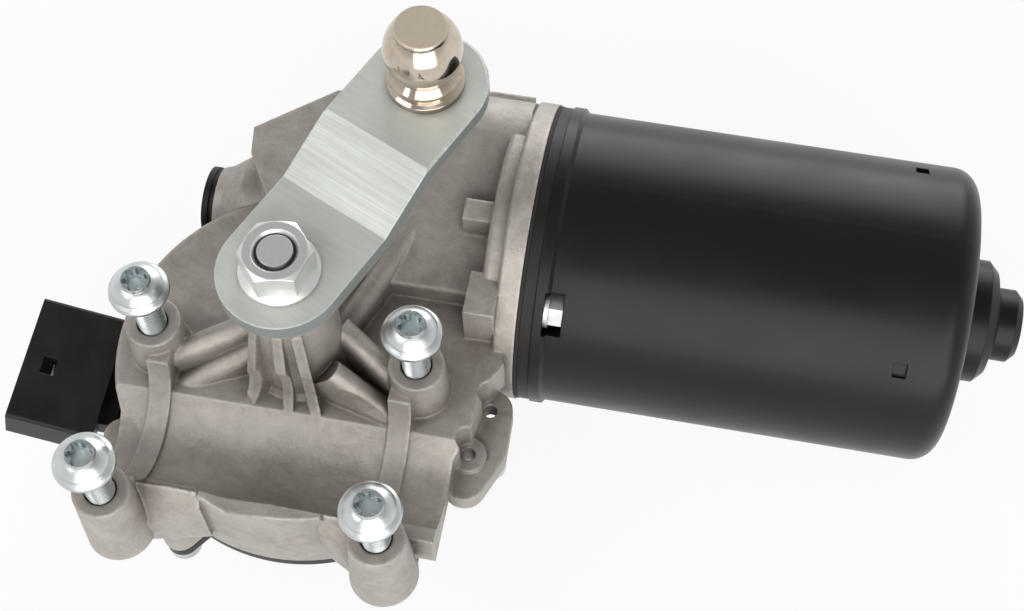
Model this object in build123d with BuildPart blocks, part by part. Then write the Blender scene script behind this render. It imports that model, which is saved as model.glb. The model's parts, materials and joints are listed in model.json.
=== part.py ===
from build123d import *
import os
from math import atan, cos, degrees, pi, radians, sin, sqrt, tan

# Wiper motor: permanent-magnet motor with a worm gear in a die-cast housing.
# The origin is the centre of the four bracket boss faces, +Z is the way the screws leave,
# and +X runs along the motor shaft to the closed end of the can. Millimetres.

os.makedirs("parts", exist_ok=True)

# Bracket bosses and their screws
boss_spacing_x = 56.0
boss_spacing_y = 38.0
boss_radius = 5.8
boss_foot_radius = 7.2
boss_foot_z = -21.0
screw_radius = 3.0
screw_thread_radius = 2.68
screw_mouth_radius = 3.3
screw_mouth_depth = 5.0
screw_depth = 13.0
screw_stand_out = 13.4
screw_head_radius = 6.25
screw_head_height = 5.4
screw_recess_radius = 2.2
screw_recess_depth = 2.6

# Place of the output shaft and of the motor shaft
output_x = 1.65
output_y = 22.6
motor_z = -23.2

# Worm and wheel
gear_teeth = 55
gear_module = 1.25
gear_face = 7.0
pressure_angle = 20.0
worm_pitch_radius = 5.0
worm_turns = 6
mesh_clearance = 0.25
gear_hub_radius = 10.0
gear_rim_depth = 6.0
gear_web = 3.0

# Housing casting
deck_z = -12.0
casting_wall = 3.2
chamber_clearance = 1.0
chamber_draft = 1.3
draft_start_z = -22.0
housing_floor_z = -33.5
ceiling_z = -15.6
plateau_z = -4.0
plateau_outline = [
    (-20.2, 71.6),
    (-4.0, 84.4),
    (30.6, 90.2),
    (40.0, 90.2),
    (40.0, 56.0),
    (6.0, 48.0),
    (-8.0, 46.0),
    (-19.2, 65.0),
]
hollow_outline = [(-15.8, 71.0), (-2.4, 81.0), (31.0, 86.8), (35.8, 86.8), (35.8, 66.0), (-14.0, 66.0)]
hood_start_x = 12.0
hood_top_z = 5.4
hood_back_y = 88.6
hood_corner = 13.0
hood_front = (41.4, -7.8, 1.2)
hood_pad = (31.0, 38.8, 52.4, 57.4)
pad_top_z = 4.0
saddle_y = -1.0
saddle_z = -3.4
strap_radius = 12.5
strap_width = 4.8
strap_x = 25.7
saddle_relief = 0.7
saddle_wall = 2.2
lip_depth = 4.0
lip_outline = [(-13.6, -14.0), (-9.7, -3.5), (-4.4, -7.2), (4.6, -5.0), (15.0, -6.2), (19.2, -15.5)]
gusset_bottom_z = -24.0
left_gusset = [(-24.0, -13.6, -5.0), (-9.7, -14.6, -3.8), (-9.7, -16.6, -3.8), (-22.6, -19.6, -16.6)]
right_gusset = [(24.0, -13.6, -6.0), (14.4, -13.8, -6.4), (14.4, -15.9, -6.4), (21.4, -19.6, -19.6)]
bed_left_x = -31.8
bed_right_x = 37.7
output_boss_radius = 9.2
output_boss_flare = 9.9
output_boss_top_z = 19.4
tunnel_radius = 12.0
tunnel_end_radius = 8.2
tunnel_end_x = -28.0
tunnel_bore = 7.5
flange_radius = 33.4
flange_face_x = 45.8
flange_thickness = 4.8
step_radius = 31.0
step_start_x = 37.2
screw_block = (34.8, 32.6, 42.6)
screw_block_top_z = -0.2
deck_corner = [(33.0, 37.0), (36.0, 34.2), (41.8, 32.8), (44.4, 27.9), (41.0, 22.0), (34.0, 22.0)]
cup_radius = 27.0
cup_depth = 7.0
bell_radius = 20.0
gallery_radius = 13.0

# Output shaft and what sits on it
shaft_radius = 5.0
bush_radius = 7.0
running_clearance = 0.03
lower_bush_length = 12.0
upper_bush_z = 8.0
upper_bush_length = 8.6
thread_radius = 4.0
crank_base_z = 21.5
crank_thickness = 4.0
crank_rise = 6.2
crank_length = 48.5
crank_angle = 65.5
crank_half_width = 12.8
crank_bend_start = 17.5
crank_bend_end = 32.5
nut_height = 8.0
nut_across_flats = 13.0
nut_flange_radius = 8.2
ball_radius = 8.0
ball_neck_radius = 5.4
ball_pin_height = 18.4

# Motor can and its rows of parts
can_radius = 32.5
can_wall = 2.0
can_rim_radius = 33.4
can_length = 89.4
can_shoulder = 5.5
gasket_thickness = 0.8
carrier_thickness = 2.6
end_boss_radius = 13.5
end_boss_length = 7.6
tip_radius = 8.0
tip_length = 6.2
can_screw_circle = 29.0
can_screw_angle = 141.4
can_screw_radius = 2.5
can_screw_length = 14.0
can_screw_head = 4.0
pocket_radius = 5.0
pocket_depth = 6.0
lance_angle = 51.5
lance_x = 125.5

# Armature
armature_radius = 4.0
worm_journal_radius = 3.0
core_radius = 23.3
core_length = 46.0
core_start_x = 66.0
core_slots = 12
air_gap = 0.7
magnet_length = 52.0
magnet_arc = 132.0
commutator_radius = 11.0
commutator_start_x = 50.4
commutator_length = 10.0

# Front ball bearing
bearing_bore = 4.0
bearing_outer = 11.0
bearing_width = 7.0
bearing_balls = 7
bearing_ball_radius = 1.98
bearing_play = 0.06
bearing_start_x = 25.6

# Gear cover with the connector
cover_thickness = 2.6
cover_radius = 38.2
cover_gap = 0.4
cover_screw_circle = 42.0
cover_screw_angles = (151.0, 208.0, 241.0, 310.0, 350.5)
cover_screw_radius = 1.75
cover_lug_radius = 3.8
seal_thickness = 0.8
connector_tip_x = -61.5
connector_mid_y = 16.0
connector_width = 29.2
connector_height = 10.2
connector_wall = 1.5
connector_length = 19.0
connector_top_z = -21.8
connector_tilt = 14.0
connector_depth = 13.0
blade_count = 5
blade_pitch = 4.6

# Sizes worked out from those above
gear_pitch_radius = gear_teeth * gear_module / 2
centre_distance = gear_pitch_radius + worm_pitch_radius
motor_y = output_y + centre_distance
worm_lead = pi * gear_module
lead_angle = atan(worm_lead / (2 * pi * worm_pitch_radius))
gear_tip_radius = gear_pitch_radius + gear_module
gear_root_radius = gear_pitch_radius - 1.25 * gear_module
worm_tip_radius = worm_pitch_radius + gear_module
worm_root_radius = worm_pitch_radius - 1.25 * gear_module
chamber_radius = gear_tip_radius + chamber_clearance
chamber_outer = chamber_radius + casting_wall
saddle_radius = strap_radius + saddle_relief
gear_top_z = motor_z + gear_face / 2
gear_bottom_z = motor_z - gear_face / 2
hub_top_z = ceiling_z - 1.4
can_start_x = flange_face_x + gasket_thickness + carrier_thickness
can_end_x = can_start_x + can_length
can_screw_tip_x = can_start_x + can_wall - can_screw_length
crank_top_z = crank_base_z + crank_thickness
shaft_top_z = crank_top_z + nut_height - 0.1
ball_base_z = crank_top_z + crank_rise
boss_places = [
    (sx * boss_spacing_x / 2, sy * boss_spacing_y / 2) for sx in (-1, 1) for sy in (-1, 1)
]

# Working planes and axes
motor_plane = Plane(origin=(0, motor_y, motor_z), x_dir=(0, 1, 0), z_dir=(1, 0, 0))
motor_section = Plane(origin=(0, motor_y, motor_z), x_dir=(1, 0, 0), z_dir=(0, -1, 0))
motor_axis = Axis((0, motor_y, motor_z), (1, 0, 0))
output_plane = Plane(origin=(output_x, output_y, 0))
output_section = Plane(origin=(output_x, output_y, 0), x_dir=(1, 0, 0), z_dir=(0, -1, 0))
output_axis = Axis((output_x, output_y, 0), (0, 0, 1))
crank_plane = Plane(
    origin=(output_x, output_y, 0),
    x_dir=(cos(radians(crank_angle)), sin(radians(crank_angle)), 0),
    z_dir=(0, 0, 1),
)
ball_centre = crank_plane.from_local_coords((crank_length, 0, 0))
ball_section = Plane(origin=(ball_centre.X, ball_centre.Y, 0), x_dir=(1, 0, 0), z_dir=(0, -1, 0))
ball_axis = Axis((ball_centre.X, ball_centre.Y, 0), (0, 0, 1))
socket_plane = Plane(
    origin=(
        connector_tip_x,
        connector_mid_y,
        connector_top_z - connector_height / 2 * cos(radians(connector_tilt)),
    ),
    x_dir=(0, 1, 0),
    z_dir=(-cos(radians(connector_tilt)), 0, sin(radians(connector_tilt))),
)


def upright(x, y, angle):
    """Vertical plane through a point, with its local x along the angle and its local y up."""
    ax, ay = cos(radians(angle)), sin(radians(angle))
    return Plane(origin=(x, y, 0), x_dir=(ax, ay, 0), z_dir=(ay, -ax, 0))


def turned(section, axis, outline, mode=Mode.ADD):
    """Revolve a closed outline, given in the section plane, about the axis."""
    with BuildSketch(section) as profile:
        with BuildLine():
            Polyline(*outline, close=True)
        make_face()
    revolve(profile.sketch, axis=axis, mode=mode)


def ring(plane, start, length, outer, inner=0.0, mode=Mode.ADD):
    """Add or cut a ring, or a disc, that starts at a height along the plane's normal."""
    with BuildSketch(plane.offset(start)) as profile:
        Circle(outer)
        if inner > 0:
            Circle(inner, mode=Mode.SUBTRACT)
    extrude(profile.sketch, amount=length, mode=mode)


def plate(plane, start, length, outline, mode=Mode.ADD):
    """Add or cut a plate with straight sides, given as points in the plane."""
    with BuildSketch(plane.offset(start)) as profile:
        with BuildLine():
            Polyline(*outline, close=True)
        make_face()
    extrude(profile.sketch, amount=length, mode=mode)


def hull_plate(plane, start, length, circles, taper=0.0, mode=Mode.ADD):
    """Add or cut a plate whose outline wraps circles given as (x, y, radius)."""
    with BuildSketch(plane.offset(start)) as profile:
        for x, y, radius in circles:
            with Locations((x, y)):
                Circle(radius)
        make_hull()
    extrude(profile.sketch, amount=length, taper=taper, mode=mode)


def polar(radius, angle):
    """Point on a circle about the local origin, by its angle in degrees."""
    return radius * cos(radians(angle)), radius * sin(radians(angle))


def motor_line(radius, angle, start=0.0):
    """Plane across a line parallel to the motor shaft, at a radius and an angle about it."""
    y, z = polar(radius, angle)
    spot = motor_plane.from_local_coords((y, z, start))
    return Plane(origin=(spot.X, spot.Y, spot.Z), x_dir=(0, 1, 0), z_dir=(1, 0, 0))


def radial_plane(angle, radius, x):
    """Plane across a radius of the motor shaft, facing outwards."""
    y, z = polar(radius, angle)
    spot = motor_plane.from_local_coords((y, z, x))
    away = (0, cos(radians(angle)), sin(radians(angle)))
    return Plane(origin=(spot.X, spot.Y, spot.Z), x_dir=(1, 0, 0), z_dir=away)


def finish(piece, label):
    """Label a finished piece and write it to its STEP file."""
    piece.part.label = label
    export_step(piece.part, f"parts/{label}.step")


# Space inside the gear chamber, bowed in under the saddle
saddle_plane = Plane(origin=(0, saddle_y, saddle_z), x_dir=(0, 1, 0), z_dir=(1, 0, 0))
saddle_reach = 60.0

with BuildPart() as chamber_space:
    ring(output_plane, housing_floor_z, ceiling_z - housing_floor_z, chamber_radius)
    with BuildSketch(saddle_plane) as ridge:
        Circle(saddle_radius + saddle_wall)
    extrude(ridge.sketch, amount=saddle_reach, both=True, mode=Mode.SUBTRACT)

# Front lip: the chamber wall raised as the rim of the saddle
bed_bottom_z = draft_start_z - 0.5
with BuildPart() as front_lip:
    ring(output_plane, bed_bottom_z, -bed_bottom_z, chamber_outer, chamber_radius - lip_depth)
    with BuildSketch(upright(0, 0, 0)) as lip_side:
        with BuildLine():
            Polyline(
                (lip_outline[0][0], bed_bottom_z),
                *lip_outline,
                (lip_outline[-1][0], bed_bottom_z),
                close=True,
            )
        make_face()
    extrude(lip_side.sketch, amount=chamber_outer, mode=Mode.INTERSECT)


def gusset(corners):
    """Upright block whose sloping top passes through its first three corners."""
    with BuildPart() as block:
        plate(Plane.XY, gusset_bottom_z, -gusset_bottom_z, [(x, y) for x, y, z in corners])
        first, second, last = Vector(*corners[0]), Vector(*corners[1]), Vector(*corners[3])
        normal = (second - first).cross(last - first)
        if normal.Z < 0:
            normal = -normal
        split(bisect_by=Plane(origin=first, z_dir=normal), keep=Keep.BOTTOM)
    return block.part


left_web = gusset(left_gusset)
right_web = gusset(right_gusset)


def ridge_rib(start, end, radius, depth, sink):
    """Add a round-topped rib along a line, sunk into what stands at its two ends."""
    along = Vector(*end) - Vector(*start)
    origin = Vector(*start) - along.normalized() * sink
    with BuildSketch(Plane(origin=origin, x_dir=(-along.Y, along.X, 0), z_dir=along)) as section:
        Circle(radius)
        with Locations((0, -depth / 2)):
            Rectangle(2 * radius, depth)
    extrude(section.sketch, amount=along.length + 2 * sink)


# Gear housing: one die casting that carries everything
rib_radius = 2.6
rib_depth = 9.0
rib_sink = 2.6
boss_ribs = [
    ((-10.0, 22.2, -2.6), (-22.0, 17.0, -7.6)),
    ((-9.2, 18.4, -7.6), (-21.6, 12.6, -14.2)),
    ((12.4, 24.2, -2.6), (22.4, 18.9, -7.6)),
    ((12.6, 14.8, -3.4), (25.4, 11.6, -14.2)),
    ((9.6, 28.6, -9.4), (20.8, 54.5, -4.6)),
]
fin_angles = (-122.0, -89.0, -65.0)
fin_reach = 15.2
fin_half_width = 1.1
ear_circles = [(42.5, 21.2, 4.8), (42.5, 12.0, 5.1), (40.0, 4.6, 4.6), (32.0, 18.0, 5.0)]
ear_top_z = -22.0
ear_thickness = 5.0
ear_hole_radius = 1.5
ear_clearance_radius = 2.4
ear_boss_radius = 4.0
ear_boss_height = 1.0
rear_ear_hole = (42.5, 21.0)
front_ear_hole = (39.9, 10.0)
lug_height = 8.0
thread_depth = 7.0
bearing_seat_gap = 0.4
seat_x = bearing_start_x + bearing_width + bearing_seat_gap
flange_back_x = flange_face_x - flange_thickness


def cover_screw_spot(angle):
    """Upright plane at a cover screw, and the same spot nearer the output shaft."""
    spot = output_plane.from_local_coords((*polar(cover_screw_circle, angle), 0))
    near = output_plane.from_local_coords((*polar(cover_screw_circle - 2 * cover_lug_radius, angle), 0))
    return (spot.X, spot.Y), (near.X, near.Y)


with BuildPart() as gear_housing:
    # Block over the motor shaft with its hood, hollow from below
    plate(Plane.XY, -36.0, plateau_z + 36.0, plateau_outline)
    with BuildSketch(Plane.YZ.offset(hood_start_x)) as hood:
        with Locations((hood_back_y - hood_corner, hood_top_z - hood_corner)):
            Circle(hood_corner)
        with Locations((hood_back_y - hood_corner, hood_top_z - 2 * hood_corner)):
            Circle(hood_corner)
        with Locations((hood_front[0], hood_front[1])):
            Circle(hood_front[2])
        with Locations((hood_front[0], hood_front[1] - hood_corner)):
            Circle(hood_front[2])
        make_hull()
    extrude(hood.sketch, amount=flange_back_x - hood_start_x)
    plate(Plane.XY, -37.0, 37.0 + plateau_z - casting_wall, hollow_outline, mode=Mode.SUBTRACT)
    # Gear chamber shell, drafted towards its open side, and the bed under the saddle
    turned(
        output_section,
        output_axis,
        [
            (0, housing_floor_z),
            (chamber_outer - chamber_draft, housing_floor_z),
            (chamber_outer, draft_start_z),
            (chamber_outer, deck_z - 0.8),
            (chamber_outer - 0.8, deck_z),
            (0, deck_z),
        ],
    )
    plate(
        Plane.XY,
        bed_bottom_z,
        deck_z - bed_bottom_z,
        [
            (bed_left_x, -14.0),
            (bed_right_x, -14.0),
            (bed_right_x, 8.0),
            (bed_left_x - 2.4, 8.0),
        ],
    )
    plate(Plane.XY, bed_bottom_z, deck_z - bed_bottom_z, deck_corner)
    add(front_lip.part)
    add(left_web)
    add(right_web)
    # Feet of the straps, from the saddle out to each pillar
    for x, y in boss_places:
        side_x = strap_x if x > 0 else -strap_x
        inner_y = strap_radius / 2 if y > 0 else -strap_radius
        plate(
            Plane.XY,
            bed_bottom_z,
            saddle_z - bed_bottom_z,
            [
                (side_x - strap_width / 2, inner_y),
                (side_x + strap_width / 2, inner_y),
                (side_x + strap_width / 2, y),
                (side_x - strap_width / 2, y),
            ],
        )
    # Four pillars, drafted towards their faces
    for x, y in boss_places:
        with BuildSketch(Plane.XY.offset(boss_foot_z)) as foot:
            with Locations((x, y)):
                Circle(boss_foot_radius)
        with BuildSketch(Plane.XY) as face:
            with Locations((x, y)):
                Circle(boss_radius)
        loft([foot.sketch.face(), face.sketch.face()])
    # Output boss with its three fins and the ribs to the pillars and the hood
    turned(
        output_section,
        output_axis,
        [
            (0, deck_z - 1.0),
            (output_boss_flare + 1.6, deck_z - 1.0),
            (output_boss_flare, deck_z + 1.6),
            (output_boss_radius + 0.4, deck_z + 14.0),
            (output_boss_radius, output_boss_top_z - 1.0),
            (output_boss_radius - 1.0, output_boss_top_z),
            (0, output_boss_top_z),
        ],
    )
    for angle in fin_angles:
        with BuildSketch(upright(output_x, output_y, angle)) as fin:
            with BuildLine():
                Polyline(
                    (0, deck_z),
                    (fin_reach, deck_z),
                    (output_boss_radius + 0.4, output_boss_top_z - 5.0),
                    (0, output_boss_top_z - 5.0),
                    close=True,
                )
            make_face()
        extrude(fin.sketch, amount=fin_half_width, both=True)
    for start, end in boss_ribs:
        ridge_rib(start, end, rib_radius, rib_depth, rib_sink)
    # Ear with two holes beside the chamber
    hull_plate(Plane.XY, ear_top_z - ear_thickness, ear_thickness, ear_circles)
    ring(Plane((*front_ear_hole, 0)), ear_top_z - 1.0, 1.0 + ear_boss_height, ear_boss_radius)
    # Lugs for the cover screws
    for angle in cover_screw_angles:
        spot, near = cover_screw_spot(angle)
        hull_plate(
            Plane.XY,
            housing_floor_z,
            lug_height,
            [(*spot, cover_lug_radius), (*near, cover_lug_radius + 1.0)],
        )
    # Worm tunnel, bearing cone, motor flange and its screw lugs
    turned(
        motor_section,
        motor_axis,
        [
            (tunnel_end_x, 0),
            (tunnel_end_x, tunnel_end_radius),
            (tunnel_end_x + 2.0, tunnel_end_radius + 0.6),
            (tunnel_end_x + 6.5, tunnel_radius),
            (14.0, tunnel_radius + 1.0),
            (20.0, tunnel_radius + 3.6),
            (step_start_x - 1.0, bell_radius),
            (step_start_x, bell_radius + 4.0),
            (step_start_x, step_radius - 1.2),
            (step_start_x + 0.4, step_radius - 0.4),
            (step_start_x + 1.2, step_radius),
            (flange_back_x, step_radius),
            (flange_back_x, 0),
        ],
    )
    y, z = polar(can_screw_circle, can_screw_angle + 180.0)
    inner_y, inner_z = polar(can_screw_circle - 8.0, can_screw_angle + 180.0)
    hull_plate(
        motor_plane,
        screw_block[0],
        flange_back_x - screw_block[0],
        [(y, z, 4.4), (inner_y, inner_z, 5.4)],
    )
    plate(
        Plane.XY,
        bed_bottom_z,
        screw_block_top_z - bed_bottom_z,
        [
            (screw_block[0], screw_block[1]),
            (flange_back_x + 0.4, screw_block[1]),
            (flange_back_x + 0.4, screw_block[2]),
            (screw_block[0], screw_block[2]),
        ],
    )
    # Raised pad on the hood
    plate(
        Plane.XY,
        deck_z,
        pad_top_z - deck_z,
        [
            (hood_pad[0], hood_pad[2]),
            (hood_pad[1], hood_pad[2]),
            (hood_pad[1], hood_pad[3]),
            (hood_pad[0], hood_pad[3]),
        ],
    )
    # Keep the underside of the cone off the cover
    ring(output_plane, housing_floor_z, -24.0, cover_radius + cover_gap, mode=Mode.SUBTRACT)
    turned(
        motor_section,
        motor_axis,
        [
            (flange_back_x, 0),
            (flange_back_x, flange_radius - 0.6),
            (flange_back_x + 0.6, flange_radius),
            (flange_face_x, flange_radius),
            (flange_face_x, 0),
        ],
    )
    ring(motor_plane, flange_face_x, 20.0, flange_radius + 0.4, mode=Mode.SUBTRACT)
    # Saddle for the frame tube and the two straps that it rests on
    with BuildSketch(saddle_plane) as tube:
        Circle(saddle_radius)
    extrude(tube.sketch, amount=saddle_reach, both=True, mode=Mode.SUBTRACT)
    for side in (-1, 1):
        with BuildSketch(saddle_plane.offset(side * strap_x - strap_width / 2)) as strap:
            Circle(saddle_radius + 1.0)
            Circle(strap_radius, mode=Mode.SUBTRACT)
            with Locations((0, saddle_radius + 1.0)):
                Rectangle(4 * saddle_radius, 2 * saddle_radius + 2.0, mode=Mode.SUBTRACT)
        extrude(strap.sketch, amount=strap_width)
    # Chamber, tunnel, bearing seat and brush cup
    add(chamber_space.part, mode=Mode.SUBTRACT)
    ring(motor_plane, tunnel_end_x - 1, bearing_start_x + 1 - tunnel_end_x, tunnel_bore, mode=Mode.SUBTRACT)
    ring(motor_plane, bearing_start_x, 20.0, bearing_outer, mode=Mode.SUBTRACT)
    ring(motor_plane, seat_x, 40.0, gallery_radius, mode=Mode.SUBTRACT)
    ring(motor_plane, flange_face_x - cup_depth, 20.0, cup_radius, mode=Mode.SUBTRACT)
    # Bores of the output boss
    ring(output_plane, ceiling_z - 1, 50.0, shaft_radius + 1.0, mode=Mode.SUBTRACT)
    ring(output_plane, ceiling_z - 1, lower_bush_length + 1, bush_radius, mode=Mode.SUBTRACT)
    ring(output_plane, upper_bush_z, 40.0, bush_radius, mode=Mode.SUBTRACT)
    # Screw holes in the pillars, the ear, the cover lugs and the motor flange
    for x, y in boss_places:
        ring(Plane((x, y, 0)), -screw_depth - 1.0, 20.0, screw_thread_radius, mode=Mode.SUBTRACT)
        ring(Plane((x, y, 0)), -screw_mouth_depth, 10.0, screw_mouth_radius, mode=Mode.SUBTRACT)
    for place, top_z in ((rear_ear_hole, ear_top_z), (front_ear_hole, ear_top_z + ear_boss_height)):
        hole = Plane((*place, 0))
        ring(hole, housing_floor_z, top_z - housing_floor_z, ear_hole_radius, mode=Mode.SUBTRACT)
        ring(hole, top_z, 20.0, ear_clearance_radius, mode=Mode.SUBTRACT)
        ring(
            hole,
            housing_floor_z,
            ear_top_z - ear_thickness - housing_floor_z,
            ear_clearance_radius,
            mode=Mode.SUBTRACT,
        )
    for angle in cover_screw_angles:
        spot, near = cover_screw_spot(angle)
        ring(Plane((*spot, 0)), housing_floor_z, thread_depth, cover_screw_radius, mode=Mode.SUBTRACT)
    for turn in (0.0, 180.0):
        screw_line = motor_line(can_screw_circle, can_screw_angle + turn)
        ring(screw_line, can_screw_tip_x - 1.0, 20.0, can_screw_radius, mode=Mode.SUBTRACT)
finish(gear_housing, "gear_housing")

# Output shaft: bush journal, knurled crank seat, thread and the flange moulded into the wheel
shaft_flange_radius = 8.0
shaft_flange_height = 3.0
shaft_foot_z = gear_bottom_z
clip_z = output_boss_top_z + 0.9
clip_thickness = 1.0
clip_groove = 0.7
seat_radius = 4.7

with BuildPart() as output_shaft:
    turned(
        output_section,
        output_axis,
        [
            (0, shaft_foot_z),
            (shaft_radius, shaft_foot_z),
            (shaft_radius, gear_bottom_z + 2.0),
            (shaft_flange_radius, gear_bottom_z + 2.0),
            (shaft_flange_radius, gear_bottom_z + 2.0 + shaft_flange_height),
            (shaft_radius, gear_bottom_z + 2.0 + shaft_flange_height),
            (shaft_radius, clip_z),
            (shaft_radius - clip_groove, clip_z),
            (shaft_radius - clip_groove, clip_z + clip_thickness),
            (shaft_radius, clip_z + clip_thickness),
            (shaft_radius, crank_base_z - 0.1),
            (seat_radius, crank_base_z),
            (thread_radius, crank_top_z),
            (thread_radius, shaft_top_z - 0.5),
            (thread_radius - 0.5, shaft_top_z),
            (0, shaft_top_z),
        ],
    )
finish(output_shaft, "output_shaft")

# Worm wheel with slanted teeth, moulded round the shaft flange
tooth_base_radius = gear_pitch_radius * cos(radians(pressure_angle))
tooth_half_pitch = (worm_lead / 2 - mesh_clearance) / 2


def involute(angle):
    """Involute function of a pressure angle in radians."""
    return tan(angle) - angle


def flank_half_width(radius):
    """Half of the tooth's thickness at a radius, for an involute flank."""
    roll = involute(radians(pressure_angle))
    at_radius = involute(atan(sqrt(max(0.0, (radius / tooth_base_radius) ** 2 - 1))))
    return radius * (tooth_half_pitch / gear_pitch_radius + roll - at_radius)


with BuildPart() as gear_tooth:
    tooth_foot = gear_root_radius - 0.3
    with BuildSketch(Plane.XY.offset(gear_bottom_z)) as tooth:
        with BuildLine():
            flank = [
                (gear_root_radius, flank_half_width(gear_root_radius)),
                (gear_pitch_radius, flank_half_width(gear_pitch_radius)),
                (gear_tip_radius, flank_half_width(gear_tip_radius)),
            ]
            Line((tooth_foot, flank[0][1]), flank[0])
            ThreePointArc(*flank)
            Line(flank[2], (flank[2][0], -flank[2][1]))
            ThreePointArc(*[(x, -y) for x, y in reversed(flank)])
            Line((flank[0][0], -flank[0][1]), (tooth_foot, -flank[0][1]))
            Line((tooth_foot, -flank[0][1]), (tooth_foot, flank[0][1]))
        make_face()
    extrude(
        tooth.sketch,
        amount=gear_face / cos(lead_angle),
        dir=(0, sin(lead_angle), cos(lead_angle)),
    )

mid_face_turn = degrees(gear_face / 2 * tan(lead_angle) / gear_pitch_radius)
with BuildPart() as drive_gear:
    turned(
        output_section,
        output_axis,
        [
            (shaft_radius, gear_bottom_z),
            (gear_root_radius, gear_bottom_z),
            (gear_root_radius, gear_top_z),
            (gear_root_radius - gear_rim_depth, gear_top_z),
            (gear_root_radius - gear_rim_depth, gear_bottom_z + gear_web),
            (gear_hub_radius, gear_bottom_z + gear_web + 0.5),
            (gear_hub_radius, hub_top_z),
            (shaft_radius, hub_top_z),
            (shaft_radius, gear_bottom_z + 2.0 + shaft_flange_height),
            (shaft_flange_radius, gear_bottom_z + 2.0 + shaft_flange_height),
            (shaft_flange_radius, gear_bottom_z + 2.0),
            (shaft_radius, gear_bottom_z + 2.0),
        ],
    )
    for spoke in range(6):
        spoke_plane = output_plane.rotated((0, 0, 60.0 * spoke))
        plate(
            spoke_plane,
            gear_bottom_z + gear_web,
            gear_face - gear_web - 1.0,
            [
                (gear_hub_radius - 0.5, -1.0),
                (gear_root_radius - gear_rim_depth + 0.5, -1.0),
                (gear_root_radius - gear_rim_depth + 0.5, 1.0),
                (gear_hub_radius - 0.5, 1.0),
            ],
        )
    with Locations((output_x, output_y)):
        with PolarLocations(0, gear_teeth, start_angle=90.0 - mid_face_turn):
            add(gear_tooth.part)
finish(drive_gear, "drive_gear")

# Park disc on the underside of the wheel: a ring with one gap for the park position
park_disc_thickness = 0.5
park_radii = (14.0, 26.0)
with BuildPart() as park_disc:
    ring(output_plane, gear_bottom_z - park_disc_thickness, park_disc_thickness, park_radii[1], park_radii[0])
    park_gap = output_plane.rotated((0, 0, 205.0))
    plate(
        park_gap,
        gear_bottom_z - 2 * park_disc_thickness,
        3 * park_disc_thickness,
        [(19.0, -4.0), (30.0, -4.0), (30.0, 4.0), (19.0, 4.0)],
        mode=Mode.SUBTRACT,
    )
finish(park_disc, "park_disc")

# Bushes, thrust washer, O-ring, top washer and retaining ring of the output shaft
with BuildPart() as lower_bush:
    ring(
        output_plane, ceiling_z, lower_bush_length, bush_radius, shaft_radius + running_clearance
    )
finish(lower_bush, "lower_bush")

with BuildPart() as upper_bush:
    ring(
        output_plane,
        upper_bush_z,
        upper_bush_length,
        bush_radius,
        shaft_radius + running_clearance,
    )
finish(upper_bush, "upper_bush")

with BuildPart() as thrust_washer:
    ring(output_plane, hub_top_z, ceiling_z - hub_top_z - 0.3, gear_hub_radius, shaft_radius + 0.05)
finish(thrust_washer, "thrust_washer")

oring_radius = 0.9
with BuildPart() as shaft_oring:
    with BuildSketch(output_section) as oring:
        with Locations((bush_radius - oring_radius, upper_bush_z + upper_bush_length + oring_radius)):
            Circle(oring_radius)
    revolve(oring.sketch, axis=output_axis)
finish(shaft_oring, "shaft_oring")

with BuildPart() as top_washer:
    ring(output_plane, output_boss_top_z, clip_z - output_boss_top_z - 0.1, 8.6, shaft_radius + 0.1)
finish(top_washer, "top_washer")

with BuildPart() as retaining_ring:
    ring(output_plane, clip_z, clip_thickness, shaft_radius + 1.8, shaft_radius - clip_groove)
    ring_mouth = output_plane.rotated((0, 0, 200.0))
    plate(
        ring_mouth,
        clip_z - 1.0,
        clip_thickness + 2.0,
        [(0, -1.6), (10.0, -2.4), (10.0, 2.4), (0, 1.6)],
        mode=Mode.SUBTRACT,
    )
finish(retaining_ring, "retaining_ring")

# Crank arm: a strip of plate cranked upwards between its two ends
with BuildPart() as crank_arm:
    with BuildSketch(upright(output_x, output_y, crank_angle)) as strip:
        with BuildLine():
            Polyline(
                (-20.0, crank_base_z),
                (crank_bend_start + 1.0, crank_base_z),
                (crank_bend_end + 1.0, crank_base_z + crank_rise),
                (75.0, crank_base_z + crank_rise),
                (75.0, crank_top_z + crank_rise),
                (crank_bend_end - 0.4, crank_top_z + crank_rise),
                (crank_bend_start - 0.4, crank_top_z),
                (-20.0, crank_top_z),
                close=True,
            )
        make_face()
    extrude(strip.sketch, amount=2 * crank_half_width, both=True)
    hull_plate(
        crank_plane,
        0.0,
        60.0,
        [(0, 0, crank_half_width), (crank_length, 0, crank_half_width)],
        mode=Mode.INTERSECT,
    )
    turned(
        output_section,
        output_axis,
        [
            (0, crank_base_z - 1.0),
            (seat_radius, crank_base_z - 1.0),
            (seat_radius, crank_base_z),
            (thread_radius, crank_top_z),
            (thread_radius, crank_top_z + 1.0),
            (0, crank_top_z + 1.0),
        ],
        mode=Mode.SUBTRACT,
    )
    ring(Plane((ball_centre.X, ball_centre.Y, 0)), 0, 60.0, 4.5, mode=Mode.SUBTRACT)
    top_arcs = crank_arm.edges().group_by(Axis.Z)[-1].filter_by(GeomType.CIRCLE)
    chamfer(top_arcs.sort_by(SortBy.RADIUS)[-1:], 0.5)
finish(crank_arm, "crank_arm")

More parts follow.
